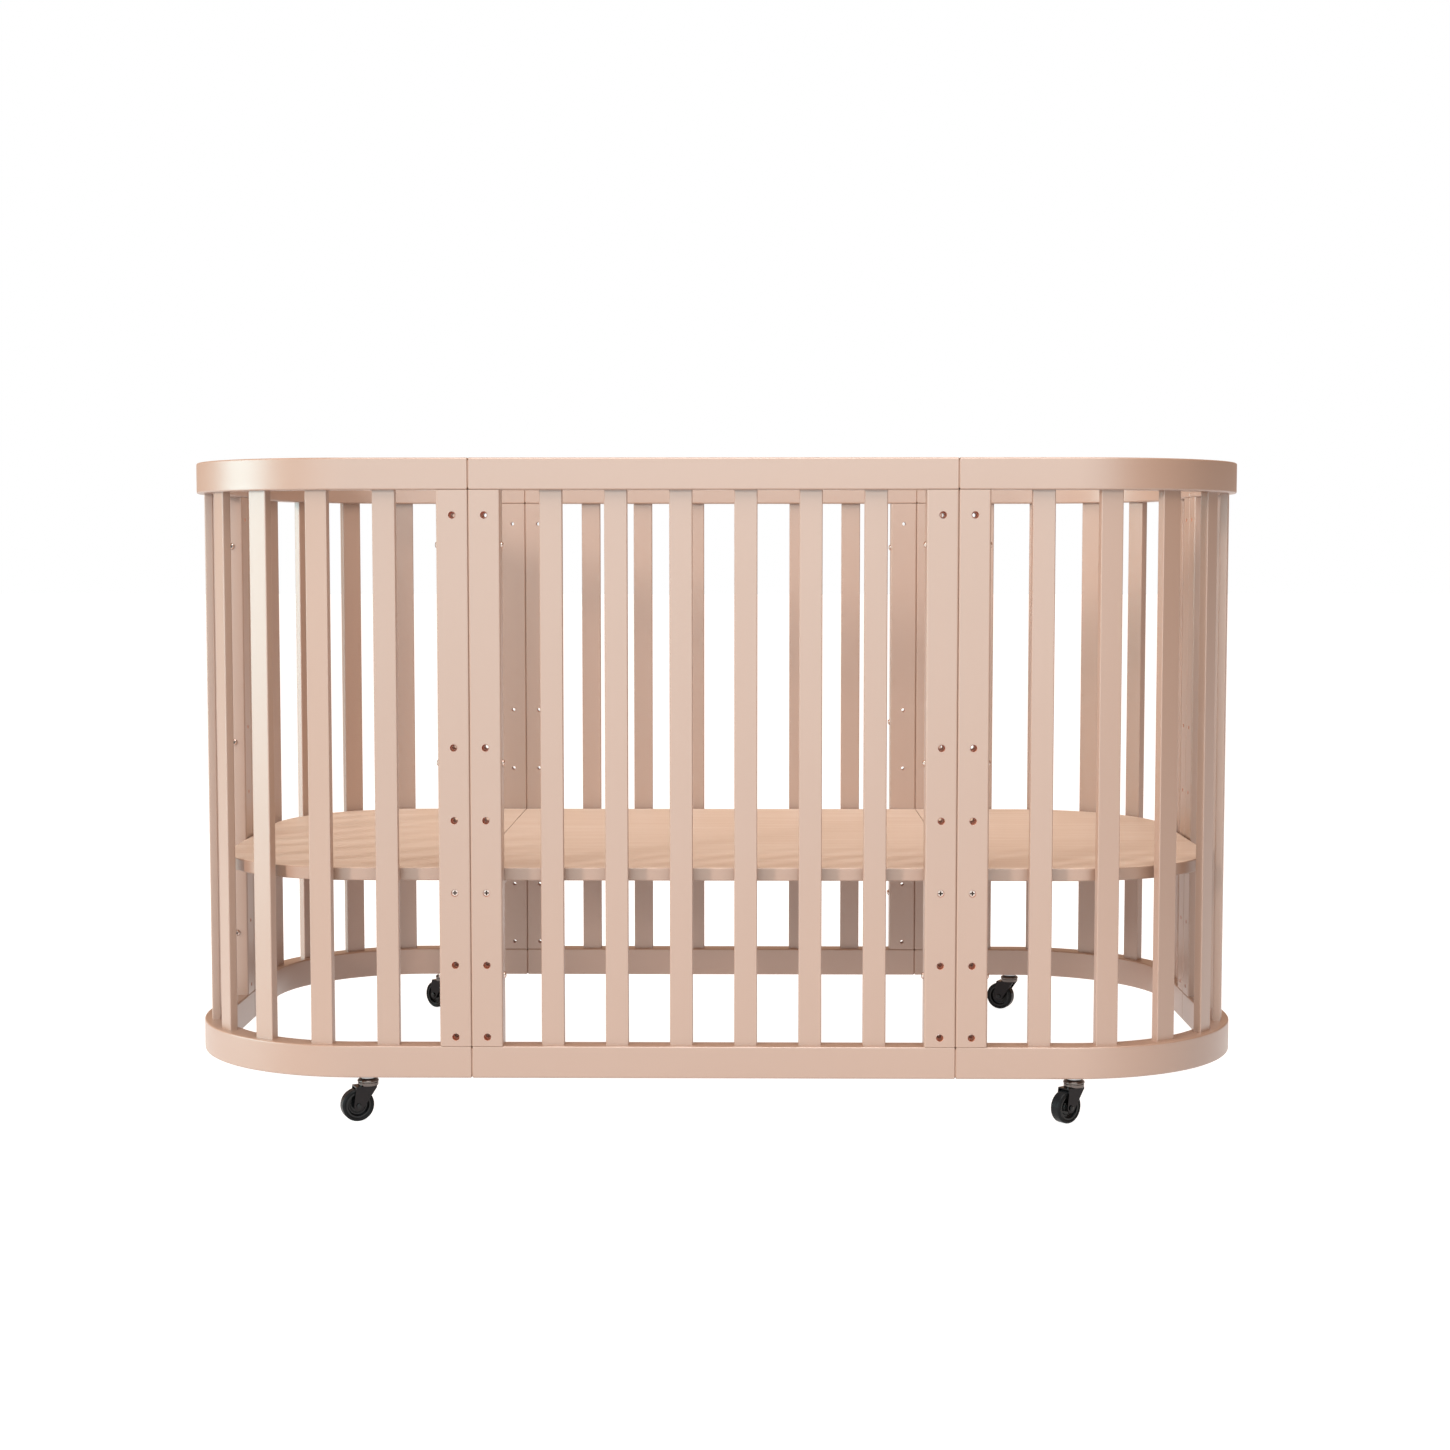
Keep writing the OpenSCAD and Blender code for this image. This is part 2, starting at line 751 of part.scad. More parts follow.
caster_hub(FRONT_LEFT);  // front_left_caster_hub
caster_tyre(FRONT_LEFT);  // front_left_caster_tyre
caster_stem(FRONT_RIGHT);  // front_right_caster_stem
caster_fork(FRONT_RIGHT);  // front_right_caster_fork
caster_axle(FRONT_RIGHT);  // front_right_caster_axle
caster_hub(FRONT_RIGHT);  // front_right_caster_hub
caster_tyre(FRONT_RIGHT);  // front_right_caster_tyre
caster_stem(BACK_LEFT);  // back_left_caster_stem
caster_fork(BACK_LEFT);  // back_left_caster_fork
caster_axle(BACK_LEFT);  // back_left_caster_axle
caster_hub(BACK_LEFT);  // back_left_caster_hub
caster_tyre(BACK_LEFT);  // back_left_caster_tyre
caster_stem(BACK_RIGHT);  // back_right_caster_stem
caster_fork(BACK_RIGHT);  // back_right_caster_fork
caster_axle(BACK_RIGHT);  // back_right_caster_axle
caster_hub(BACK_RIGHT);  // back_right_caster_hub
caster_tyre(BACK_RIGHT);  // back_right_caster_tyre
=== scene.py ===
# %% [markdown]
# # An oval baby crib on casters
#
# This lesson dresses a finished construction. The crib's solids come from a CAD model, which decides
# every size. Here they get their finish, and where a CAD solid is only a plain stand-in, a finer piece is
# made in its place.
#
# The first cell loads the construction as a fixed frame. Nothing in it may be moved: every new piece is
# measured from it instead.

import json
import math

import bmesh
import bpy
from mathutils import Matrix, Vector


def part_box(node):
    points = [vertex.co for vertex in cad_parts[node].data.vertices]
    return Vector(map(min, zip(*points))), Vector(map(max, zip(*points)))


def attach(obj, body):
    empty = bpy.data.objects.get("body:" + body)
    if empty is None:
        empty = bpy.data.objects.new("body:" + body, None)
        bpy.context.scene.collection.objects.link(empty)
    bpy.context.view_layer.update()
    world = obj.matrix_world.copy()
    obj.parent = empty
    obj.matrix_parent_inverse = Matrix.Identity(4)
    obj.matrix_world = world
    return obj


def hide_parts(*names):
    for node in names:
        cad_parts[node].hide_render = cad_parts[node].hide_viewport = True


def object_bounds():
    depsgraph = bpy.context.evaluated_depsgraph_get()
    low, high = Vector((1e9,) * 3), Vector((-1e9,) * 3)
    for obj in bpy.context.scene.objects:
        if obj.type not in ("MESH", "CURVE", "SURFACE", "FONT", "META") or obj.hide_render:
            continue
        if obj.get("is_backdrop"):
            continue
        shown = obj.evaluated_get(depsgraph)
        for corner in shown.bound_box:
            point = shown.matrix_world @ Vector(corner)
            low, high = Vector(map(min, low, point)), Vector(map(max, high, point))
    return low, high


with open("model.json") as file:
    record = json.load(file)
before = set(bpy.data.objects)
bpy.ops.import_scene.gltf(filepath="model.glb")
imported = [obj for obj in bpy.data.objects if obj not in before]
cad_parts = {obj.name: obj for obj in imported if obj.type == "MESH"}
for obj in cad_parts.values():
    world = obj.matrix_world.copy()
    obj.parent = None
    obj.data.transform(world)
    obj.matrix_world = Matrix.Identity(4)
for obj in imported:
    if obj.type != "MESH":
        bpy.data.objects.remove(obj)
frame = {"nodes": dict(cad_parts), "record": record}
cad_low, cad_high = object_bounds()
MM = 0.001
print("crib, mm:", [round(x / MM) for x in cad_high - cad_low])

# %% [markdown]
# ## Measuring
#
# A finer piece has to be exactly as big as the solid that it stands for, so its sizes are read from the
# frame and not typed in again. A box is enough for what lies along an axis. For what stands at an angle,
# such as a swivelled wheel, the solid's own points are measured along any direction.

# %% Measure along any direction
# Each corner, with its side along X and Y: -1 is left or front, 1 is right or back
CORNERS = {"front_left": (-1, -1), "front_right": (1, -1), "back_left": (-1, 1), "back_right": (1, 1)}


def points_of(node):
    return [vertex.co for vertex in frame["nodes"][node].data.vertices]


def reach(node, direction, origin):
    """How far a solid reaches from an origin along a direction."""
    direction, origin = Vector(direction), Vector(origin)
    return max((point - origin).dot(direction) for point in points_of(node))


def box_size(node):
    """A solid's size along the three axes."""
    low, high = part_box(node)
    return high - low


# %% Sizes of the walls
rail_low, rail_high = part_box("front_top_rail")
foot_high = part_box("front_bottom_rail")[1]
HALF_PANEL = rail_high.x
HALF_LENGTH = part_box("front_right_corner_top_rail")[1].x
HALF_WIDTH = -rail_low.y
WALL_THICK = rail_high.y - rail_low.y
POST_WIDTH = box_size("front_left_post").x
WALL_MID_X = HALF_LENGTH - WALL_THICK / 2
WALL_MID_Y = HALF_WIDTH - WALL_THICK / 2

# The outside of a corner rail leaves the long wall where its bend starts
TOUCHING = 0.01 * MM
corner_points = points_of("front_right_corner_top_rail")
BEND_X = max(p.x for p in corner_points if p.y < -HALF_WIDTH + TOUCHING)
BEND_RADIUS = HALF_LENGTH - BEND_X - WALL_THICK / 2
BEND_Y = WALL_MID_Y - BEND_RADIUS

# %% [markdown]
# ## The camera
#
# A crib is best shown square to its long side and from a little under its top rail: one then looks
# through the slats and down on the mattress board. The lens is long enough to keep the posts upright.
# The camera dips towards the board and turns a little towards the crib's middle, both in radians.

# %% Camera
CAMERA_PLACE = Vector((42.4, -3035.9, 653)) * MM
CAMERA_DIP = 0.0708
CAMERA_TURN = 0.0108
SENSOR_WIDTH = 36
FOCAL_LENGTH = 58.22
camera = bpy.data.objects.new("camera", bpy.data.cameras.new("camera"))
camera.data.sensor_width = SENSOR_WIDTH
camera.data.lens = FOCAL_LENGTH
camera.location = CAMERA_PLACE
camera.rotation_euler = (math.pi / 2 - CAMERA_DIP, 0, CAMERA_TURN)
bpy.context.scene.collection.objects.link(camera)
bpy.context.scene.camera = camera

# %% [markdown]
# ## Building node trees
#
# Both kinds of tree used below, for shading and for geometry, are made of nodes with inputs. One helper
# adds a node, sets its properties and fills its inputs, either with a plain value or with the output of
# an earlier node. The trees then read like a list of steps. The last helper tells how closed in a point
# is: holes and recesses get a painted shade inside.

# %% Helpers for nodes
def fill(tree, node, inputs):
    """Fills inputs by name or number, each with a plain value or with another node's output."""
    for name, value in inputs.items():
        if isinstance(value, bpy.types.NodeSocket):
            tree.links.new(value, node.inputs[name])
        else:
            node.inputs[name].default_value = value


def add(tree, kind, inputs=None, **settings):
    """Adds a node, sets its properties and fills its inputs."""
    node = tree.nodes.new(kind)
    for name, value in settings.items():
        setattr(node, name, value)
    fill(tree, node, inputs or {})
    return node


def math_node(tree, operation, a, b=0.0):
    return add(tree, "ShaderNodeMath", {0: a, 1: b}, operation=operation).outputs[0]


def noise(tree, place, scale, detail=2.0, distortion=0.0):
    """A soft random value between 0 and 1 that varies with place."""
    inputs = {"Vector": place, "Scale": scale, "Detail": detail, "Distortion": distortion}
    return add(tree, "ShaderNodeTexNoise", inputs).outputs[0]


def stretch(tree, value, start, end, low=0.0, high=1.0):
    """Turns a value that runs from start to end into one that runs from low to high, and no further."""
    inputs = {"Value": value, "From Min": start, "From Max": end, "To Min": low, "To Max": high}
    return add(tree, "ShaderNodeMapRange", inputs).outputs[0]


def between(tree, factor, low, high):
    """Turns a value from 0 to 1 into one from low to high."""
    return stretch(tree, factor, 0.0, 1.0, low, high)


def blend_colours(tree, factor, first, second):
    return add(tree, "ShaderNodeMix", {0: factor, 6: first, 7: second}, data_type="RGBA").outputs[2]


def relief(tree, height, depth, under=None):
    """Bumps a surface by a height map; under is the relief that it lies on."""
    inputs = {"Height": height, "Distance": depth, "Strength": 1.0}
    if under is not None:
        inputs["Normal"] = under
    return add(tree, "ShaderNodeBump", inputs).outputs[0]


def start_material(name):
    """An empty material, its tree, its shader, and where a point lies on its object."""
    material = bpy.data.materials.new(name)
    material.use_nodes = True
    tree = material.node_tree
    tree.nodes.clear()
    shader = add(tree, "ShaderNodeBsdfPrincipled")
    add(tree, "ShaderNodeOutputMaterial", {"Surface": shader.outputs[0]})
    return material, tree, shader, add(tree, "ShaderNodeTexCoord").outputs["Object"]


OPEN_SKY = 0.85
SHUT_IN = 0.5
SKY_RAYS = 8


# Its result is the mask for the painted shade in holes and recesses
def inside(tree, distance):
    """How deep in a hole or a recess of its own piece a point lies: 0 outside, 1 inside."""
    sky = add(tree, "ShaderNodeAmbientOcclusion", {"Distance": distance}, samples=SKY_RAYS,
              only_local=True).outputs["AO"]
    return stretch(tree, sky, OPEN_SKY, SHUT_IN)


# %% [markdown]
# ## Lacquered wood
#
# The walls are beech with a dusty pink satin lacquer. A sprayed lacquer looks even, but never perfectly
# so: the grain still telegraphs through as faint ridges along each timber, the film has a fine orange
# peel, and its gloss wanders a little. All three are noise at different sizes. Grain follows the
# timber, so noise for it is squeezed along one direction: up for posts and slats, along the middle line
# for rails. A swept rail brings its own "along" and "across" values, so its grain bends with it.
#
# Over the colour lies a whitish sheen: a rough coat, with a deeper colour under it than one sees in the
# end. In the drilled holes of a post a painted shade makes the colour redder and darker, and there is no
# coat there.

# %% Lacquer
LACQUER = (0.368, 0.224, 0.160, 1)
LACQUER_SHADE = (0.350, 0.210, 0.147, 1)
# Painted shade: the redder, darker colour put inside the post holes
HOLE_PAINTED_SHADE = (0.62, 0.235, 0.125, 1)
SATIN_COAT = {"Coat Roughness": 0.4, "Coat IOR": 2.1}
LACQUER_ROUGHNESS = (0.36, 0.48)
HOLE_SHADE = 9 * MM
TONE_SHARE = 0.25
GRAIN_SQUEEZE = 0.04
RIDGE_DEPTH = 0.03 * MM
PEEL_DEPTH = 0.015 * MM
# Noise patterns here and below: scale, detail and sometimes distortion
CLOUDS = (7.0, 3.0)
GLOSS_DRIFT = (60.0, 3.0)
RIDGES = (420.0, 4.0, 0.4)
PEEL = (900.0, 1.0)


def grain_place(tree, here, timber):
    """Where a point lies on its timber, with the direction of the grain shortened."""
    if timber == "swept":
        along = add(tree, "ShaderNodeAttribute", attribute_name="along").outputs["Fac"]
        across = add(tree, "ShaderNodeAttribute", attribute_name="across").outputs["Fac"]
        height = add(tree, "ShaderNodeSeparateXYZ", {0: here}).outputs[2]
        slow = math_node(tree, "MULTIPLY", along, GRAIN_SQUEEZE)
        return add(tree, "ShaderNodeCombineXYZ", {0: slow, 1: across, 2: height}).outputs[0]
    squeeze = {"upright": (1, 1, GRAIN_SQUEEZE), "lengthwise": (GRAIN_SQUEEZE, 1, 1)}[timber]
    return add(tree, "ShaderNodeMapping", {"Vector": here, "Scale": squeeze}).outputs[0]


def lacquer(name, timber, drilled=False):
    """Lacquer on one timber; in its drilled holes a painted shade makes it redder and darker, and the
    coat is left off.
    """
    material, tree, shader, here = start_material(name)
    grained = grain_place(tree, here, timber)
    tone = add(tree, "ShaderNodeAttribute", attribute_name="tone").outputs["Fac"]
    tone = math_node(tree, "MULTIPLY", tone, TONE_SHARE)
    shade = math_node(tree, "ADD", noise(tree, here, *CLOUDS), tone)
    colour = blend_colours(tree, shade, LACQUER, LACQUER_SHADE)
    sheen = 1.0
    if drilled:
        in_hole = inside(tree, HOLE_SHADE)
        # Painted shade in the holes, where the occlusion mask is high
        colour = blend_colours(tree, in_hole, colour, HOLE_PAINTED_SHADE)
        sheen = math_node(tree, "SUBTRACT", 1.0, in_hole)
    peel = relief(tree, noise(tree, here, *PEEL), PEEL_DEPTH)
    fill(tree, shader, {
        "Base Color": colour,
        "Roughness": between(tree, noise(tree, grained, *GLOSS_DRIFT), *LACQUER_ROUGHNESS),
        "Normal": relief(tree, noise(tree, grained, *RIDGES), RIDGE_DEPTH, peel),
        "Specular IOR Level": 1.0,
        "Coat Weight": sheen,
    } | SATIN_COAT)
    return material


upright_lacquer = lacquer("upright_lacquer", "upright")
post_lacquer = lacquer("post_lacquer", "upright", drilled=True)
swept_lacquer = lacquer("swept_lacquer", "swept")

# %% [markdown]
# ## The mattress board
#
# The board is pale wood with its rim lacquered like the walls. Its upper side shows real figure: broad
# soft bands where the saw crossed the growth rings, and thin dark pores that run the long way. One
# material does both. The way a point faces tells whether it is on the rim or on a broad face, which has
# less of the coat.

# %% Board
WOOD = (0.84, 0.73, 0.64, 1)
WOOD_BAND = (0.62, 0.455, 0.345, 1)
PORE = (0.60, 0.40, 0.26, 1)
BANDS = (22.0, 3.0, 1.5)
FINE_GRAIN = (190.0, 4.0, 0.3)
FINE_GRAIN_SHARE = (-0.3, 0.75)
PORES = (620.0, 2.0)
PORE_LIMITS = (0.62, 0.78)
PORE_SHARE = 0.6
GRAIN_DEPTH = 0.06 * MM
BOARD_ROUGHNESS = (0.42, 0.6)
BROAD_FACE_COAT = 0.4
BROAD_FACE = 0.8


def board_wood():
    """Figured wood on the broad faces, which look up or down, and lacquer on the rim."""
    material, tree, shader, here = start_material("board_wood")
    grained = grain_place(tree, here, "lengthwise")
    fine = noise(tree, grained, *FINE_GRAIN)
    pores = stretch(tree, noise(tree, grained, *PORES), *PORE_LIMITS)
    figure = blend_colours(tree, noise(tree, grained, *BANDS), WOOD, WOOD_BAND)
    figure = blend_colours(tree, between(tree, fine, *FINE_GRAIN_SHARE), figure, WOOD_BAND)
    figure = blend_colours(tree, math_node(tree, "MULTIPLY", pores, PORE_SHARE), figure, PORE)
    normal = add(tree, "ShaderNodeNewGeometry").outputs["Normal"]
    facing_up = add(tree, "ShaderNodeSeparateXYZ", {0: normal}).outputs[2]
    broad = math_node(tree, "GREATER_THAN", math_node(tree, "ABSOLUTE", facing_up), BROAD_FACE)
    lacquered = blend_colours(tree, noise(tree, here, *CLOUDS), LACQUER, LACQUER_SHADE)
    fill(tree, shader, {
        "Base Color": blend_colours(tree, broad, lacquered, figure),
        "Roughness": between(tree, fine, *BOARD_ROUGHNESS),
        "Normal": relief(tree, fine, GRAIN_DEPTH),
        "Coat Weight": between(tree, broad, 1.0, BROAD_FACE_COAT),
    } | SATIN_COAT)
    return material


board_finish = board_wood()

# %% [markdown]
# ## Metals, rubber and plastic
#
# The small parts are nickel-plated or zinc-plated steel. Plating has a direction only where it was
# brushed, so a fine round noise in the roughness and a faint relief are enough. In the key sockets and
# cross recesses of the nickel-plated screws and bolts a painted shade makes the plating nearly black. The
# casters are darker: a smoked plating on the cup, black oxide on the fork. The tyres and hubs are black
# and glossy: what one sees of them is mostly what they mirror, so their gloss matters more than their
# colour.

# %% Small materials
# Painted shade: the nearly black colour put inside key sockets and cross recesses
RECESS_PAINTED_SHADE = (0.025, 0.012, 0.009, 1)
RECESS = 2.5 * MM
SMUDGES = (120.0, 4.0)
SMUDGE_SHADE = 0.8
SPECKS = (2400.0, 2.0)
SPECK_DEPTH = 0.004 * MM
PATCHES = (90.0, 3.0)
DUST_GAIN = 1.6
DUST_LIFT = 0.004
PIMPLES = (1500.0, 2.0)


def shaded(colour, gain, lift=0.0):
    """A darker or lighter colour: each channel is multiplied, then lifted."""
    return tuple(min(1, gain * channel + lift) for channel in colour[:3]) + (1,)


def plated(name, colour, roughness, recess=0.0):
    """A plated metal; a recess of about the given depth gets a painted shade that is nearly black."""
    material, tree, shader, here = start_material(name)
    smudges = noise(tree, here, *SMUDGES)
    plating = blend_colours(tree, smudges, colour, shaded(colour, SMUDGE_SHADE))
    if recess:
        # Painted shade in the recess, where the occlusion mask is high
        plating = blend_colours(tree, inside(tree, recess), plating, RECESS_PAINTED_SHADE)
    fill(tree, shader, {
        "Base Color": plating,
        "Roughness": between(tree, smudges, *roughness),
        "Normal": relief(tree, noise(tree, here, *SPECKS), SPECK_DEPTH),
        "Metallic": 1.0,
    })
    return material


def moulded(name, colour, roughness, pimple, mirror):
    """A black rubber or plastic with a fine moulded texture of a given depth."""
    material, tree, shader, here = start_material(name)
    patches = noise(tree, here, *PATCHES)
    fill(tree, shader, {
        "Base Color": blend_colours(tree, patches, colour, shaded(colour, DUST_GAIN, DUST_LIFT)),
        "Roughness": between(tree, patches, *roughness),
        "Normal": relief(tree, noise(tree, here, *PIMPLES), pimple),
        "Specular IOR Level": mirror,
    })
    return material


nickel = plated("nickel", (0.74, 0.60, 0.54, 1), roughness=(0.18, 0.28), recess=RECESS)
smoked_nickel = plated("smoked_nickel", (0.18, 0.155, 0.145, 1), roughness=(0.06, 0.12))
black_oxide = plated("black_oxide", (0.030, 0.028, 0.029, 1), roughness=(0.10, 0.18))
bright_zinc = plated("bright_zinc", (0.60, 0.60, 0.61, 1), roughness=(0.25, 0.4))
tyre_rubber = moulded("tyre_rubber", (0.005, 0.006, 0.007, 1), roughness=(0.2, 0.3),
                      pimple=0.008 * MM, mirror=0.12)
hub_plastic = moulded("hub_plastic", (0.006, 0.007, 0.008, 1), roughness=(0.05, 0.1),
                      pimple=0.002 * MM, mirror=0.3)

# %% Finishes of the solids that stay
FINISH_OF_SLOT = {
    "painted_wood": upright_lacquer, "plain_wood": board_finish, "bright_steel": nickel,
    "zinc_steel": bright_zinc, "chrome": smoked_nickel, "black_plastic": hub_plastic, "tyre": tyre_rubber,
}
slot_of = {part["node"]: part["material_slot"] for part in frame["record"]["subparts"]}
for node_name, solid in frame["nodes"].items():
    finish = post_lacquer if node_name.endswith("_post") else FINISH_OF_SLOT[slot_of[node_name]]
    solid.data.materials.clear()
    solid.data.materials.append(finish)

# %% [markdown]
# ## From a node tree to a piece
#
# What repeats is made with Geometry Nodes: the rails are one section swept along a middle line, the slats
# are one slat set out along the same line, and the screws are one screw copied to every hole. Each tree
# has named inputs, so one tree serves many pieces. The helpers below give a tree its values, let Blender
# work it out once, and keep the plain mesh. A piece then looks soft only where it really is round: sharp
# edges stay crisp, and large flat faces keep their own direction.

# %% Run a tree and keep its mesh
CRISP = math.radians(35)
SOCKET_KINDS = {int: "NodeSocketInt", float: "NodeSocketFloat", object: "NodeSocketObject"}


def start_tree(name, sizes):
    """A geometry tree with named inputs. The kind of each input follows from its value."""
    tree = bpy.data.node_groups.new(name, "GeometryNodeTree")
    tree.interface.new_socket("Geometry", in_out="INPUT", socket_type="NodeSocketGeometry")
    for title, value in sizes.items():
        kind = SOCKET_KINDS[object if value is object else type(value)]
        socket = tree.interface.new_socket(title, in_out="INPUT", socket_type=kind)
        if value is not object:
            socket.default_value = value
    tree.interface.new_socket("Finish", in_out="INPUT", socket_type="NodeSocketMaterial")
    tree.interface.new_socket("Geometry", in_out="OUTPUT", socket_type="NodeSocketGeometry")
    return tree, add(tree, "NodeGroupInput").outputs


def end_tree(tree, given, geometry):
    """Every tree ends in real mesh with its finish on."""
    real = add(tree, "GeometryNodeRealizeInstances", {0: geometry}).outputs[0]
    done = add(tree, "GeometryNodeSetMaterial", {0: real, "Material": given["Finish"]}).outputs[0]
    add(tree, "NodeGroupOutput", {0: done})


def new_object(name, mesh):
    piece = bpy.data.objects.new(name, mesh)
    bpy.context.scene.collection.objects.link(piece)
    return piece


def grow(tree, name, start, values):
    """Runs a tree on a start mesh, and returns the result as an object with a plain mesh."""
    piece = new_object(name, start)
    modifier = piece.modifiers.new(tree.name, "NODES")
    modifier.node_group = tree
    for item in tree.interface.items_tree:
        if item.in_out == "INPUT" and item.name in values:
            modifier[item.identifier] = values[item.name]
    graph = bpy.context.evaluated_depsgraph_get()
    mesh = bpy.data.meshes.new_from_object(piece.evaluated_get(graph), depsgraph=graph,
                                           preserve_all_data_layers=True)
    piece.modifiers.remove(modifier)
    piece.data = mesh
    return piece


def compare(piece, node):
    """Prints how far a piece's box lies from the box of the solid that it stands for."""
    points = [vertex.co for vertex in piece.data.vertices]
    low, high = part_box(node)
    off = max(abs(extreme(point[axis] for point in points) - end[axis])
              for extreme, end in ((min, low), (max, high)) for axis in range(3))
    print(piece.name, len(points), "points, off its solid by", round(off / MM, 2), "mm")


def settle(piece, body, *nodes):
    """Soft where round and crisp where sharp; then the piece takes its nodes' place on a body."""
    compare(piece, nodes[0])
    piece.data.shade_smooth()
    piece.data.set_sharp_from_angle(angle=CRISP)
    flat = piece.modifiers.new("flat faces stay flat", "WEIGHTED_NORMAL")
    flat.keep_sharp = True
    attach(piece, body)
    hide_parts(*nodes)


# %% [markdown]
# ## The middle line of a wall
#
# A straight module and a corner module are laid out along the middle of their timber. The straight one
# is a plain line. The corner one runs straight, turns a quarter circle, and runs straight again. It is
# written once, for the back right corner, and its signs are flipped for the others.

# %% Middle lines
BEVEL = 1.2 * MM
ARC_STEPS = 48
EDGE_STEPS = 4


def corner_line(side_x, side_y):
    """Points from the seam on the long wall, round the corner, to the seam on the end wall."""
    points = [(HALF_PANEL, WALL_MID_Y), (HALF_PANEL + BEVEL, WALL_MID_Y)]
    for step in range(ARC_STEPS + 1):
        turn = math.pi / 2 * step / ARC_STEPS
        points.append((BEND_X + BEND_RADIUS * math.sin(turn), BEND_Y + BEND_RADIUS * math.cos(turn)))
    points += [(WALL_MID_X, BEVEL), (WALL_MID_X, 0)]
    return [Vector((side_x * x, side_y * y)) for x, y in points]


def straight_line(side_y):
    ends = (-HALF_PANEL, -HALF_PANEL + BEVEL, HALF_PANEL - BEVEL, HALF_PANEL)
    return [Vector((x, side_y * WALL_MID_Y)) for x in ends]


LINES = {"front": straight_line(-1), "back": straight_line(1)}
for corner, sides in CORNERS.items():
    LINES[corner + "_corner"] = corner_line(*sides)


def line_mesh(points, height):
    mesh = bpy.data.meshes.new("line")
    edges = [(i, i + 1) for i in range(len(points) - 1)]
    mesh.from_pydata([(p.x, p.y, height) for p in points], edges, [])
    return mesh


def rounded_section(tree, width, height, radius):
    """A rectangle with rounded corners, as a curve to sweep."""
    box = add(tree, "GeometryNodeCurvePrimitiveQuadrilateral", {"Width": width, "Height": height})
    return add(tree, "GeometryNodeFilletCurve",
               {0: box.outputs[0], "Count": EDGE_STEPS, "Radius": radius}, mode="POLY").outputs[0]


def store(tree, geometry, name, value, domain="POINT"):
    return add(tree, "GeometryNodeStoreNamedAttribute", {0: geometry, "Name": name, "Value": value},
               data_type="FLOAT", domain=domain).outputs[0]


# %% [markdown]
# ## Rails
#
# A top or bottom rail is one section swept along the middle line. The tree stores two values on the way:
# how far along the line a point lies, and how far across the timber. The lacquer reads both, so that the
# grain runs with the timber round the bend. At its two ends the section is drawn in a little, which
# makes the narrow bevels that show as a fine line at each seam.

# %% Rail tree
def rail_tree():
    tree, given = start_tree("swept_rail", {"Thickness": 0.03, "Height": 0.04, "Edge radius": 0.002,
                                            "Drawn in": 0.1})
    line = add(tree, "GeometryNodeMeshToCurve", {0: given["Geometry"]}).outputs[0]
    line = add(tree, "GeometryNodeSetCurveNormal", {0: line}, mode="Z_UP").outputs[0]
    line = store(tree, line, "along", add(tree, "GeometryNodeSplineParameter").outputs["Length"])
    section = rounded_section(tree, given["Thickness"], given["Height"], given["Edge radius"])
    place = add(tree, "ShaderNodeSeparateXYZ", {0: add(tree, "GeometryNodeInputPosition").outputs[0]})
    section = store(tree, section, "across", place.outputs[0])
    ends = add(tree, "GeometryNodeCurveEndpointSelection").outputs[0]
    size = math_node(tree, "SUBTRACT", 1.0, math_node(tree, "MULTIPLY", ends, given["Drawn in"]))
    swept = add(tree, "GeometryNodeCurveToMesh",
                {"Curve": line, "Profile Curve": section, "Scale": size, "Fill Caps": True})
    end_tree(tree, given, swept.outputs[0])
    return tree


# %% Rails
RAIL_EDGE = 2.0 * MM
swept_rail = rail_tree()
for wall, points in LINES.items():
    for rail in ("top_rail", "bottom_rail"):
        node = f"{wall}_{rail}"
        low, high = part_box(node)
        sizes = {"Thickness": WALL_THICK, "Height": high.z - low.z, "Edge radius": RAIL_EDGE,
                 "Drawn in": 2 * BEVEL / WALL_THICK, "Finish": swept_lacquer}
        timber = grow(swept_rail, node + "_timber", line_mesh(points, (low.z + high.z) / 2), sizes)
        settle(timber, "frame", node)

# %% [markdown]
# ## Slats
#
# The slats of one module stand in a row on its middle line, evenly spread between a first and a last
# distance from the seam. The tree reads the line's place and direction at each distance, sets one slat
# there, and turns it with the wall. Each slat also gets its own "tone", a small random value with a
# fixed seed, which the lacquer adds to its shade: no two sticks of wood take paint quite alike.

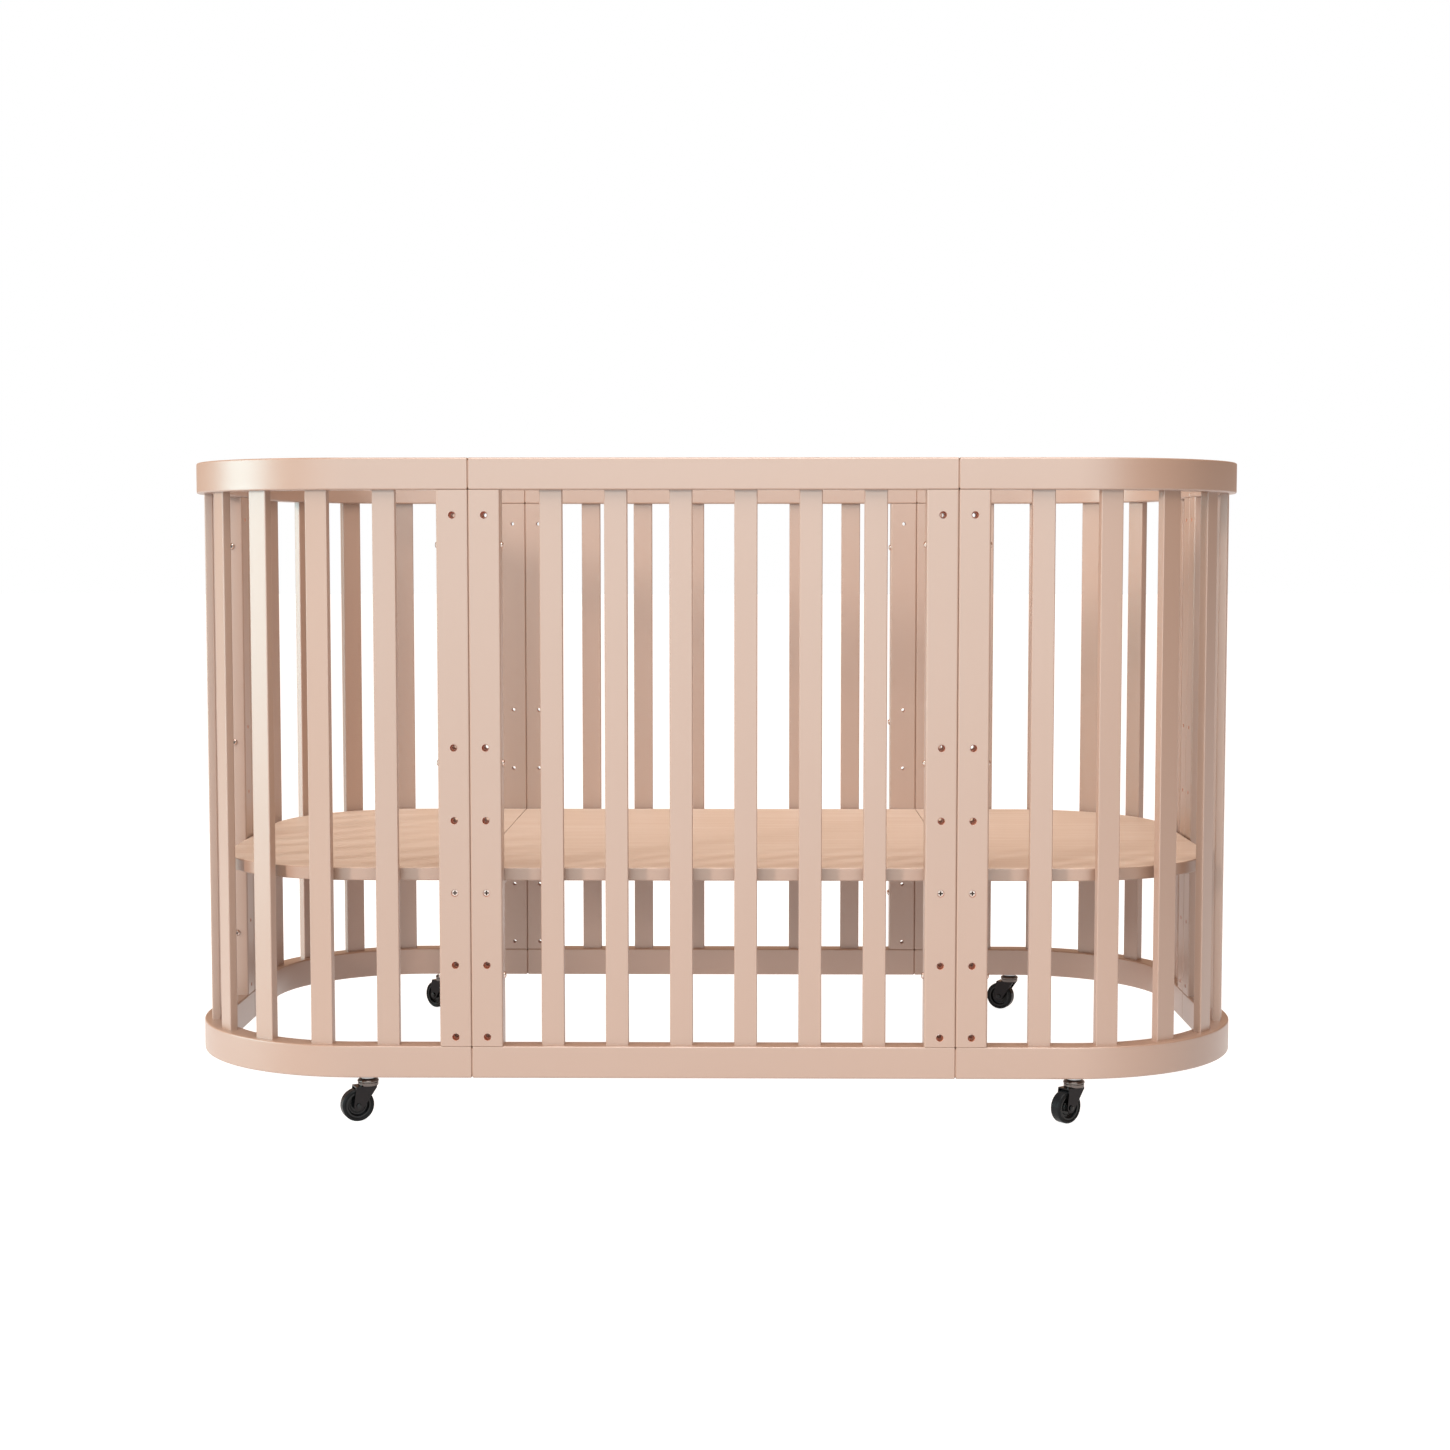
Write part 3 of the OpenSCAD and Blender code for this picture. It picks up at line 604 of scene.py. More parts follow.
# %% Slat tree
def slat_tree():
    tree, given = start_tree("slats_on_a_line", {
        "Count": 6, "First": 0.1, "Pitch": 0.08, "Width": 0.03, "Thickness": 0.01, "Edge radius": 0.002,
        "Foot": 0.1, "Head": 0.6, "Seed": 1})
    line = add(tree, "GeometryNodeMeshToCurve", {0: given["Geometry"]}).outputs[0]
    number = add(tree, "GeometryNodeInputIndex").outputs[0]
    distance = math_node(tree, "ADD", given["First"], math_node(tree, "MULTIPLY", number, given["Pitch"]))
    spot = add(tree, "GeometryNodeSampleCurve", {0: line}, mode="LENGTH")
    tree.links.new(distance, spot.inputs["Length"])
    spots = add(tree, "GeometryNodePoints",
                {"Count": given["Count"], "Position": spot.outputs["Position"]})
    turn = add(tree, "FunctionNodeAlignRotationToVector", {"Vector": spot.outputs["Tangent"]},
               axis="X", pivot_axis="Z").outputs[0]
    section = rounded_section(tree, given["Width"], given["Thickness"], given["Edge radius"])
    foot = add(tree, "ShaderNodeCombineXYZ", {2: given["Foot"]}).outputs[0]
    head = add(tree, "ShaderNodeCombineXYZ", {2: given["Head"]}).outputs[0]
    upright = add(tree, "GeometryNodeCurvePrimitiveLine", {"Start": foot, "End": head}).outputs[0]
    slat = add(tree, "GeometryNodeCurveToMesh",
               {"Curve": upright, "Profile Curve": section, "Fill Caps": True}).outputs[0]
    row = add(tree, "GeometryNodeInstanceOnPoints",
              {0: spots.outputs[0], "Instance": slat, "Rotation": turn}).outputs[0]
    chance = add(tree, "FunctionNodeRandomValue", {2: -1.0, 3: 1.0, "Seed": given["Seed"]},
                 data_type="FLOAT").outputs[1]
    end_tree(tree, given, store(tree, row, "tone", chance, "INSTANCE"))
    return tree


# %% Where the slats stand
SLAT_EDGE = 1.25 * MM
CLEAR_GAP = 35 * MM


def distance_along(points, place):
    """How far along a line of points its nearest place to a given one lies."""
    best, best_gap, walked = 0, math.inf, 0
    for start, end in zip(points, points[1:]):
        step = end - start
        share = max(0, min(1, (place - start).dot(step) / step.length_squared))
        gap = (start + share * step - place).length
        if gap < best_gap:
            best, best_gap = walked + share * step.length, gap
        walked += step.length
    return best


def clusters(values, gap):
    """Sorts values into groups with wide gaps between them: the lowest and highest of each."""
    groups = []
    for value in sorted(values):
        if not groups or value - groups[-1][1] > gap:
            groups.append([value, value])
        groups[-1][1] = value
    return groups


def slat_row(node, points):
    """Count, first distance and pitch of a module's slats, measured on its solids."""
    places = {(round(point.x, 5), round(point.y, 5)) for point in points_of(node)}
    groups = clusters([distance_along(points, Vector(place)) for place in places], CLEAR_GAP)
    middles = [(low + high) / 2 for low, high in groups]
    pitch = (middles[-1] - middles[0]) / (len(middles) - 1)
    return {"Count": len(middles), "First": middles[0], "Pitch": pitch}


# %% Slats
slats_low, slats_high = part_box("front_slats")
slat_thick = slats_high.y - slats_low.y
front_row = clusters([point.x for point in points_of("front_slats")], CLEAR_GAP)
slat_width = front_row[0][1] - front_row[0][0]
slats_on_a_line = slat_tree()
for seed, (wall, points) in enumerate(LINES.items(), start=1):
    node = wall + "_slats"
    sizes = slat_row(node, points)
    sizes |= {"Width": slat_width, "Thickness": slat_thick, "Edge radius": SLAT_EDGE, "Foot": foot_high.z,
              "Head": rail_low.z, "Seed": seed, "Finish": upright_lacquer}
    row = grow(slats_on_a_line, wall + "_slat_row", line_mesh(points, 0), sizes)
    settle(row, "frame", node)

# %% [markdown]
# ## Turned shapes
#
# Bolt heads, cap nuts, screws and every part of a caster wheel come off a lathe. A turned mesh is a
# stack of rings, each with a height and a radius. In a driver's recess, a ring's radius changes with the
# angle, as a hexagon's or a cross's does.

# %% Turned meshes
NEVER_ZERO = 0.01


def off_axis(angle, count):
    """How far an angle lies from the nearest of some evenly spread directions."""
    share = 2 * math.pi / count
    return abs((angle + share / 2) % share - share / 2)


def hexagon(width):
    """Radius of a hexagonal ring of a given width over its flats."""
    return lambda angle: width / 2 / math.cos(off_axis(angle, 6))


def cross(length, width):
    """Radius of a cross-shaped ring, from the length and width of its arms."""
    return lambda angle: min(length / 2 / math.cos(off_axis(angle, 4)),
                             width / 2 / max(math.sin(off_axis(angle, 4)), NEVER_ZERO))


def finished(form, name):
    """Turns a work mesh into a plain mesh."""
    mesh = bpy.data.meshes.new(name)
    form.to_mesh(mesh)
    form.free()
    return mesh


def turned_mesh(name, rings, sides=48, tube=False):
    """A closed mesh from rings of (height, radius). It has two caps, or is closed to a tube."""
    form = bmesh.new()
    loops = []
    for height, radius in rings:
        loop = []
        for side in range(sides):
            angle = 2 * math.pi * side / sides
            out = radius(angle) if callable(radius) else radius
            loop.append(form.verts.new((out * math.cos(angle), out * math.sin(angle), height)))
        loops.append(loop)
    for lower, upper in zip(loops, loops[1:] + loops[:1] if tube else loops[1:]):
        for side in range(sides):
            after = (side + 1) % sides
            form.faces.new((lower[side], lower[after], upper[after], upper[side]))
    if not tube:
        form.faces.new(loops[0][::-1])
        form.faces.new(loops[-1])
    bmesh.ops.recalc_face_normals(form, faces=form.faces)
    return finished(form, name)


def arc(middle, across, up, start, end, steps):
    """Rings along a rounded edge: (height, radius) from a start to an end angle in degrees."""
    height, radius = middle
    rings = []
    for step in range(steps + 1):
        angle = math.radians(start + (end - start) * step / steps)
        rings.append((height + up * math.sin(angle), radius + across * math.cos(angle)))
    return rings


# %% [markdown]
# ## Copies on points
#
# One tree copies a turned part to every place where it is used. The start mesh holds only the places,
# and each carries a "facing" direction, along which the copy's axis is laid.

# %% Copy tree
def copy_tree():
    tree, given = start_tree("copies_on_points", {"Part": object})
    part = add(tree, "GeometryNodeObjectInfo", {"Object": given["Part"]}).outputs["Geometry"]
    facing = add(tree, "GeometryNodeInputNamedAttribute", {"Name": "facing"}, data_type="FLOAT_VECTOR")
    upright = add(tree, "GeometryNodeInputNamedAttribute", {"Name": "upright"}, data_type="FLOAT_VECTOR")
    laid = add(tree, "FunctionNodeAlignRotationToVector", {"Vector": facing.outputs[0]}, axis="Z")
    turned = add(tree, "FunctionNodeAlignRotationToVector",
                 {"Rotation": laid.outputs[0], "Vector": upright.outputs[0]}, axis="Y", pivot_axis="Z")
    copies = add(tree, "GeometryNodeInstanceOnPoints",
                 {0: given["Geometry"], "Instance": part, "Rotation": turned.outputs[0]})
    end_tree(tree, given, copies.outputs[0])
    return tree


copies_on_points = copy_tree()


def copies(name, part_mesh, spots, finish, node):
    """Copies a part of the frame to spots of (place, facing); the part's +Y is turned upwards."""
    start = bpy.data.meshes.new("spots")
    start.from_pydata([place for place, facing in spots], [], [])
    directions = start.attributes.new("facing", "FLOAT_VECTOR", "POINT")
    ups = start.attributes.new("upright", "FLOAT_VECTOR", "POINT")
    for entry, up, (place, facing) in zip(directions.data, ups.data, spots):
        entry.vector = facing
        up.vector = (0, 0, 1) if abs(facing[2]) < 0.5 else (0, 1, 0)
    part = new_object(name + "_pattern", part_mesh)
    piece = grow(copies_on_points, name, start, {"Part": part, "Finish": finish})
    bpy.data.objects.remove(part)
    settle(piece, "frame", node)


# %% [markdown]
# ## Bolts and cap nuts at the seams
#
# Two posts meet at each of the six seams. Three bolts go through both, with a low domed head on one side
# and a domed cap nut on the other, and each dome has a socket for a hexagon key.

# %% Seam hardware
SHANK_RADIUS = 2.5 * MM
HEAD_SIDES = 36
DOME_HEIGHT = 2.8 * MM
DOME_RADIUS = 4.0 * MM
DOME_RIM = 0.5 * MM
DOME_EASE = 0.2 * MM
DOME_START = 8
DOME_STEPS = 7
FLAT_SHARE = 0.5
KEY_WIDTH = 3.0 * MM
KEY_DEPTH = 1.4 * MM
KEY_FLARE = 0.3 * MM
KEY_LEAD = 0.2 * MM


def domed_head(name, shank):
    """A dome on z = 0 with a key socket, and a shank of a given length under it."""
    rings = [(-shank, SHANK_RADIUS), (0, SHANK_RADIUS)] if shank else []
    rings += [(0, DOME_RADIUS - DOME_EASE), (DOME_EASE, DOME_RADIUS), (DOME_RIM, DOME_RADIUS)]
    # The dome stops where it has narrowed to its flat top, and is then stretched to its full height
    top = math.degrees(math.acos(FLAT_SHARE))
    rings += arc((DOME_RIM, 0), DOME_RADIUS, DOME_HEIGHT - DOME_RIM, DOME_START, top, DOME_STEPS)
    height = rings[-1][0]
    rings += [(height, hexagon(KEY_WIDTH + KEY_FLARE)), (height - KEY_LEAD, hexagon(KEY_WIDTH)),
              (height - KEY_DEPTH, hexagon(KEY_WIDTH))]
    lift = DOME_HEIGHT / height
    return turned_mesh(name, [(z * lift if z > 0 else z, radius) for z, radius in rings], HEAD_SIDES)


bolt_rows = clusters([point.z for point in points_of("seam_bolts")], CLEAR_GAP)
seams = [((sx * HALF_PANEL, sy * WALL_MID_Y), (-sx, 0)) for sx in (-1, 1) for sy in (-1, 1)]
seams += [((sx * WALL_MID_X, 0), (0, -sx)) for sx in (-1, 1)]
bolt_spots = []
nut_spots = []
for z in [(low + high) / 2 for low, high in bolt_rows]:
    for (x, y), (dx, dy) in seams:
        bolt_spots.append(((x + dx * POST_WIDTH, y + dy * POST_WIDTH, z), (dx, dy, 0)))
        nut_spots.append(((x - dx * POST_WIDTH, y - dy * POST_WIDTH, z), (-dx, -dy, 0)))
copies("seam_bolt_heads", domed_head("bolt", 2 * POST_WIDTH), bolt_spots, nickel, "seam_bolts")
copies("seam_cap_nuts", domed_head("nut", 0), nut_spots, nickel, "seam_nuts")

# %% [markdown]
# ## Bracket screws
#
# The mattress board hangs on twelve steel brackets, one inside each post. A screw goes through the post
# from outside and its head sits in the counterbore, so what shows is a round face with a cross recess.

# %% Screws
SCREW_LENGTH = 31.4 * MM
SCREW_FACE = 4.1 * MM
SCREW_SHANK = 2.4 * MM
HEAD_LENGTH = 8.4 * MM
FACE_CHAMFER = 0.45 * MM
TIP_LENGTH = 1 * MM
TIP_TAPER = 0.6 * MM
# The recess from its mouth to its floor, in mm: depth, then the length and width of the cross's arms
CROSS_RINGS = [(0, 5.6, 1.5), (0.3, 5.0, 1.2), (2.2, 2.6, 0.8)]
screw_low, screw_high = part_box("board_screws")
screw_z = (screw_low.z + screw_high.z) / 2
screw_sink = -HALF_WIDTH - screw_low.y


def screw_mesh():
    """Face on z = 0 and looking along +Z, shank below."""
    rings = [(-SCREW_LENGTH, SCREW_SHANK - TIP_TAPER), (-SCREW_LENGTH + TIP_LENGTH, SCREW_SHANK),
             (-HEAD_LENGTH, SCREW_SHANK), (-HEAD_LENGTH, SCREW_FACE), (-FACE_CHAMFER, SCREW_FACE),
             (-FACE_CHAMFER / 4, SCREW_FACE - 0.6 * FACE_CHAMFER), (0, SCREW_FACE - 1.2 * FACE_CHAMFER)]
    rings += [(-depth * MM, cross(length * MM, width * MM)) for depth, length, width in CROSS_RINGS]
    return turned_mesh("screw", rings)


post_nodes = [node for node in frame["nodes"] if node.endswith("_post")]
screw_spots = []
for node in post_nodes:
    low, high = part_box(node)
    middle = (low + high) / 2
    on_end = node.endswith("_end_post")
    outward = Vector((math.copysign(1, middle.x), 0, 0) if on_end else (0, math.copysign(1, middle.y), 0))
    face = Vector((middle.x, middle.y, screw_z)) + outward * (WALL_THICK / 2 + screw_sink)
    screw_spots.append((face, outward))
copies("bracket_screws", screw_mesh(), screw_spots, nickel, "board_screws")

# %% [markdown]
# ## Board brackets
#
# A bracket is a strip of steel bent to a right angle. Its outline has a rounded bend and the strip's
# thickness everywhere else; pulled out to the strip's width, and with its edges eased, it is finished.

# %% Brackets
BRACKET_STEEL = 3 * MM
BRACKET_WIDTH = 24 * MM
BRACKET_SHELF = 20 * MM
BRACKET_EASE = 0.35 * MM
BEND_INNER = 1.5 * MM
BEND_STEPS = 6
SHARP = math.radians(40)
bracket_low, bracket_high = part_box("board_brackets")
bracket_drop = bracket_high.z - bracket_low.z


def bracket_outline():
    """From the foot of the wall leg, up and round the bend to the shelf; x is out from the post."""
    outer = BEND_INNER + BRACKET_STEEL
    turns = [math.pi / 2 * step / BEND_STEPS for step in range(BEND_STEPS + 1)]
    points = [(BRACKET_STEEL, -bracket_drop), (0, -bracket_drop)]
    points += [(outer - outer * math.cos(turn), -outer + outer * math.sin(turn)) for turn in turns]
    points += [(BRACKET_SHELF, 0), (BRACKET_SHELF, -BRACKET_STEEL)]
    points += [(outer - BEND_INNER * math.cos(turn), -outer + BEND_INNER * math.sin(turn))
               for turn in reversed(turns)]
    return points


def ease_edges(form, ease, clamped=False):
    """Bevels the sharp edges of a work mesh in two steps."""
    sharp = [edge for edge in form.edges if edge.calc_face_angle(0) > SHARP]
    bmesh.ops.bevel(form, geom=sharp, offset=ease, segments=2, profile=0.5, affect="EDGES",
                    clamp_overlap=clamped)


def extruded(name, outline, width, ease):
    """Pulls a closed outline in the X-Z plane out to a width along Y, with eased edges."""
    form = bmesh.new()
    sheet = form.faces.new([form.verts.new((x, -width / 2, z)) for x, z in outline])
    pulled = bmesh.ops.extrude_face_region(form, geom=[sheet])["geom"]
    moved = [part for part in pulled if isinstance(part, bmesh.types.BMVert)]
    bmesh.ops.translate(form, verts=moved, vec=(0, width, 0))
    bmesh.ops.recalc_face_normals(form, faces=form.faces)
    ease_edges(form, ease)
    return finished(form, name)


# The bracket is laid for the copy tree: its +X becomes +Z and its +Z becomes +Y
bracket_mesh = extruded("bracket", bracket_outline(), BRACKET_WIDTH, BRACKET_EASE)
bracket_mesh.transform(Matrix(((0, 1, 0, 0), (0, 0, 1, 0), (1, 0, 0, 0), (0, 0, 0, 1))))
bracket_spots = []
for place, outward in screw_spots:
    inner_face = place - outward * (WALL_THICK + screw_sink)
    bracket_spots.append((Vector((inner_face.x, inner_face.y, bracket_high.z)), -outward))
copies("shelf_brackets", bracket_mesh, bracket_spots, bright_zinc, "board_brackets")

# %% [markdown]
# ## Casters
#
# Each caster is built once, upright and with its wheel trailing along +X, and then turned to the angle
# at which the construction has it. The construction's joints say where: the swivel joint lies on the
# swivel axis, and the rolling joint in the middle of the wheel, with its axis along the axle.

# %% Places of the casters
joint_of = {joint["name"]: joint for joint in frame["record"]["behaviour"]["joints"]}


def caster_matrix(corner):
    """Lays a caster made round the origin at its swivel axis, and tells how far its wheel trails."""
    swivel = Vector(joint_of[corner + "_caster_swivel"]["pos_m"])
    wheel = Vector(joint_of[corner + "_wheel_roll"]["pos_m"])
    trail = (wheel - swivel).to_2d()
    angle = math.atan2(trail.y, trail.x)
    return Matrix.Translation((swivel.x, swivel.y, 0)) @ Matrix.Rotation(angle, 4, "Z"), trail.length


def placed(mesh, matrix):
    """A copy of a mesh, put where a matrix says."""
    copy = mesh.copy()
    copy.transform(matrix)
    return copy


def half_width(node):
    """How far a part of the front left wheel reaches to one side, along its axle."""
    roll = joint_of["front_left_wheel_roll"]
    return reach(node, roll["axis"], roll["pos_m"])


SWIVEL_GAP = 0.3 * MM
tyre_low, tyre_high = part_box("front_left_caster_tyre")
flange_low, flange_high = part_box("caster_sockets")
CUP_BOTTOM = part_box("front_left_caster_fork")[1].z
CUP_RADIUS = box_size("front_left_caster_stem").x / 2
CUP_HEIGHT = flange_low.z - SWIVEL_GAP - CUP_BOTTOM
WHEEL_RADIUS = (tyre_high.z - tyre_low.z) / 2
HALF_TYRE = half_width("front_left_caster_tyre")
HALF_FORK = half_width("front_left_caster_fork")
HALF_AXLE = half_width("front_left_caster_axle")

# %% [markdown]
# ## Swivel cup and stem
#
# The cup is pressed sheet: a short wall, a groove where its two halves turn on balls, and a domed top
# that rises to the stem. It is plain lathe work, and reads as pressed metal because all its edges are
# rounded.

# %% Cup and stem
STEM_RADIUS = 4 * MM
STEM_TIP = 1.5 * MM
STEM_TAPER = 1 * MM
CUP_SIDES = 72
GROOVE_DEPTH = 1.6 * MM
LOWER_INSET = 0.6 * MM
LOWER_ROLL = 0.6 * MM
LIP = 0.5 * MM
LIP_DROP = 0.4 * MM
CROWN_ROUND = 5.2 * MM


def cup_mesh():
    """The lower ring, the groove, the upper ring with its crown, and the stem."""
    middle = 0.5 * CUP_HEIGHT
    lower_top = middle - 0.5 * MM
    upper_foot = middle + 0.3 * MM
    crown = middle + 1.1 * MM
    waist = CUP_RADIUS - GROOVE_DEPTH
    lower = CUP_RADIUS - LOWER_INSET
    stem_top = box_size("front_left_caster_stem").z
    rings = [(0, waist)]
    rings += arc((LOWER_ROLL, lower - LOWER_ROLL), LOWER_ROLL, LOWER_ROLL, -90, 0, 3)
    rings += arc((lower_top - LIP_DROP, lower - LIP), LIP, LIP_DROP, 0, 90, 3)
    rings += [(lower_top, waist), (upper_foot, waist)]
    rings += arc((upper_foot + LIP, CUP_RADIUS - LIP), LIP, LIP, -90, 0, 3)
    rings += arc((crown, CUP_RADIUS - CROWN_ROUND), CROWN_ROUND, CUP_HEIGHT - crown, 5, 90, 9)
    rings += [(CUP_HEIGHT, STEM_RADIUS), (stem_top - STEM_TIP, STEM_RADIUS),
              (stem_top, STEM_RADIUS - STEM_TAPER)]
    mesh = turned_mesh("cup", rings, CUP_SIDES)
    mesh.transform(Matrix.Translation((0, 0, CUP_BOTTOM)))
    return mesh


def add_piece(name, mesh, body, finish, *nodes):
    """Makes a piece of a mesh and settles it on its body."""
    mesh.materials.append(finish)
    settle(new_object(name, mesh), body, *nodes)


cup_pattern = cup_mesh()
for corner in CORNERS:
    matrix, trail = caster_matrix(corner)
    add_piece(corner + "_caster_cup", placed(cup_pattern, matrix), corner + "_swivel", smoked_nickel,
              corner + "_caster_stem")

# %% [markdown]
# ## Sockets in the bottom rail
#
# The four sockets are copies of one turned part, so the copy tree places them too.

# %% Sockets
LOOSE = 0.05 * MM
SOCKET_WALL = 1.5 * MM
FLANGE_RADIUS = 9 * MM
FLANGE_THICK = 2.3 * MM
FLANGE_EASE = 0.4 * MM


def socket_mesh():
    """A flange with a sleeve above it, round the bore that the stem turns in."""
    bore = STEM_RADIUS + LOOSE
    sleeve = STEM_RADIUS + SOCKET_WALL
    top = flange_high.z - flange_low.z
    edge = FLANGE_RADIUS - FLANGE_EASE
    rings = [(top - SOCKET_WALL, bore), (0, bore)]
    rings += arc((FLANGE_EASE, edge), FLANGE_EASE, FLANGE_EASE, -90, 0, 3)
    rings += arc((FLANGE_THICK - FLANGE_EASE, edge), FLANGE_EASE, FLANGE_EASE, 0, 90, 3)
    rings += [(FLANGE_THICK, sleeve), (top, sleeve)]
    return turned_mesh("socket", rings)


socket_spots = []
for corner in CORNERS:
    swivel = joint_of[corner + "_caster_swivel"]["pos_m"]
    socket_spots.append(((swivel[0], swivel[1], flange_low.z), (0, 0, 1)))
copies("caster_socket_rings", socket_mesh(), socket_spots, bright_zinc, "caster_sockets")

# %% [markdown]
# ## Fork
#
# The fork is one strip of steel folded down on both sides of the wheel: a round plate under the cup, and
# two cheeks that narrow towards the axle. Its construction is exact but knife-edged. A merged copy with
# a small bevel catches a line of light along each edge, which is how bent sheet shows its thickness.

# %% Forks
FORK_EASE = 0.3 * MM
SAME_POINT = 0.002 * MM
SAME_FACE = math.radians(0.5)


def eased_copy(node, ease):
    """A copy of a solid's mesh with its triangles joined to faces, and its edges eased."""
    form = bmesh.new()
    form.from_mesh(frame["nodes"][node].data)
    bmesh.ops.remove_doubles(form, verts=form.verts, dist=SAME_POINT)
    bmesh.ops.dissolve_limit(form, angle_limit=SAME_FACE, verts=form.verts, edges=form.edges)
    ease_edges(form, ease, clamped=True)
    return finished(form, node + "_eased")


for corner in CORNERS:
    node = corner + "_caster_fork"
    add_piece(node + "_plates", eased_copy(node, FORK_EASE), corner + "_swivel", black_oxide, node)

# %% [markdown]
# ## Wheels
#
# A wheel is a dished plastic centre with a soft tyre round it. Seen from the side it shows rings: the
# tyre's flank, a thin gap, the rim, the sunk web with its bead, and the boss. All of them are turned
# about the axle, so hub, tyre and axle are three more ring lists, laid on their side.

# %% Hub, tyre and axle
TYRE_DEPTH = 4 * MM
HUB_RADIUS = WHEEL_RADIUS - TYRE_DEPTH
AXLE_RADIUS = 2.5 * MM
WHEEL_SIDES = 96
TREAD_HALF = 2.2 * MM
SHOULDER = 2.6 * MM
TYRE_OVERLAP = 0.02 * MM
RIM_HALF = 6.4 * MM
RIM_EDGE = 0.5 * MM
WEB_HALF = 2.0 * MM
BEAD = 0.7 * MM
BOSS_PROUD = 0.3 * MM
BOSS_EDGE = 0.4 * MM
CAP_HEIGHT = 1.0 * MM
CAP_RADIUS = AXLE_RADIUS + 0.6 * MM
CENTRE_DOT = 0.7 * MM


def mirrored(rings):
    """Rings for the upper half, continued to the lower half."""
    return [(-height, radius) for height, radius in reversed(rings)] + rings


def wheel_ring(name, outside, bore):
    """A turned ring: outside is its upper half from the middle out, bore the radius of its hole."""
    profile = mirrored(outside)
    profile = [(profile[0][0], bore)] + profile + [(profile[-1][0], bore)]
    return turned_mesh(name, profile, WHEEL_SIDES, tube=True)


def tyre_mesh():
    """A flat tread, a round shoulder, and a flank that draws in to the gap beside the rim."""
    rings = [(0, WHEEL_RADIUS), (TREAD_HALF, WHEEL_RADIUS)]
    rings += arc((HALF_TYRE - SHOULDER, WHEEL_RADIUS - SHOULDER), SHOULDER, SHOULDER, 0, 80, 7)
    rings += [(HALF_TYRE - 0.15 * MM, HUB_RADIUS + 0.9 * MM),
              (HALF_TYRE - 0.6 * MM, HUB_RADIUS + 0.2 * MM)]
    return wheel_ring("tyre", rings, HUB_RADIUS + TYRE_OVERLAP)


def hub_mesh():
    """The rim, the sunk web with its bead, and the boss."""
    rim_inside = HUB_RADIUS - 2.4 * MM
    web_outside = HUB_RADIUS - 3.7 * MM
    bead = HUB_RADIUS - 5.9 * MM
    boss = AXLE_RADIUS + 2.4 * MM
    boss_top = HALF_TYRE + BOSS_PROUD
    rings = [(0, HUB_RADIUS)]
    rings += arc((RIM_HALF - RIM_EDGE, HUB_RADIUS - RIM_EDGE), RIM_EDGE, RIM_EDGE, 0, 90, 3)
    rings += arc((RIM_HALF - RIM_EDGE, rim_inside + RIM_EDGE), -RIM_EDGE, RIM_EDGE, 90, 0, 3)
    rings += [(WEB_HALF + 0.6 * MM, web_outside + 0.7 * MM), (WEB_HALF, web_outside),
              (WEB_HALF, bead + BEAD)]
    rings += arc((WEB_HALF, bead), BEAD, BEAD, 0, 180, 5)
    rings += [(WEB_HALF, boss + 0.7 * MM), (WEB_HALF + 0.8 * MM, boss)]
    rings += arc((boss_top - BOSS_EDGE, boss - BOSS_EDGE), BOSS_EDGE, BOSS_EDGE, 0, 90, 3)
    return wheel_ring("hub", rings, AXLE_RADIUS + LOOSE)


def axle_mesh():
    """The pin through both cheeks, with a low domed cap on each end."""
    rings = [(0, AXLE_RADIUS), (HALF_FORK, AXLE_RADIUS), (HALF_FORK, CAP_RADIUS)]
    rings += arc((HALF_AXLE - CAP_HEIGHT, 0), CAP_RADIUS, CAP_HEIGHT, 0, 62, 6)
    rings.append((HALF_AXLE - 0.05 * MM, CENTRE_DOT))
    return turned_mesh("axle", mirrored(rings))


on_axle = Matrix.Rotation(math.pi / 2, 4, "X")
wheel_parts = [("tyre", tyre_mesh(), "wheel", tyre_rubber), ("hub", hub_mesh(), "wheel", hub_plastic),
               ("axle", axle_mesh(), "swivel", hub_plastic)]
for corner in CORNERS:
    matrix, trail = caster_matrix(corner)
    to_wheel = matrix @ Matrix.Translation((trail, 0, WHEEL_RADIUS)) @ on_axle
    for part, mesh, body, finish in wheel_parts:
        add_piece(f"{corner}_caster_{part}_finished", placed(mesh, to_wheel), f"{corner}_{body}", finish,
                  f"{corner}_caster_{part}")

# %% [markdown]
# ## Floor and light
#
# The room is plain: a pale floor and a white surround. The main light is low and comes from the left and
# the front, wide enough that its shadows are soft-edged. It leaves the floor alone, or the slats would
# stripe it, and it doesn't show in gloss. A panel above lights the mattress board. Large cool panels in
# front and on the left give the lacquer its sheen, and a warm surround, brighter on the left, fills what
# remains. What mirrors the floor and the surround sees them dimmer than the camera does.

# %% Floor
FLOOR_REACH = 40
FLOOR_GREY = (0.5, 0.5, 0.5, 1)
FLOOR_ROUGHNESS = 0.9
FLOOR_SEEN = 0.93
FLOOR_MIRRORED = 0.65
WHITE = (1, 1, 1, 1)
floor_mesh = bpy.data.meshes.new("floor")
corners = [(x * FLOOR_REACH, y * FLOOR_REACH, 0) for x, y in ((-1, -1), (1, -1), (1, 1), (-1, 1))]
floor_mesh.from_pydata(corners, [], [(0, 1, 2, 3)])
floor = new_object("floor", floor_mesh)
floor_finish, floor_tree, floor_shader = start_material("pale_floor")[:3]
looked_at = add(floor_tree, "ShaderNodeLightPath").outputs["Is Camera Ray"]
fill(floor_tree, floor_shader, {
    "Base Color": FLOOR_GREY, "Roughness": FLOOR_ROUGHNESS, "Specular IOR Level": 0.0,
    "Emission Color": WHITE,
    "Emission Strength": between(floor_tree, looked_at, FLOOR_MIRRORED, FLOOR_SEEN),
})
floor_mesh.materials.append(floor_finish)
floor.visible_diffuse = False
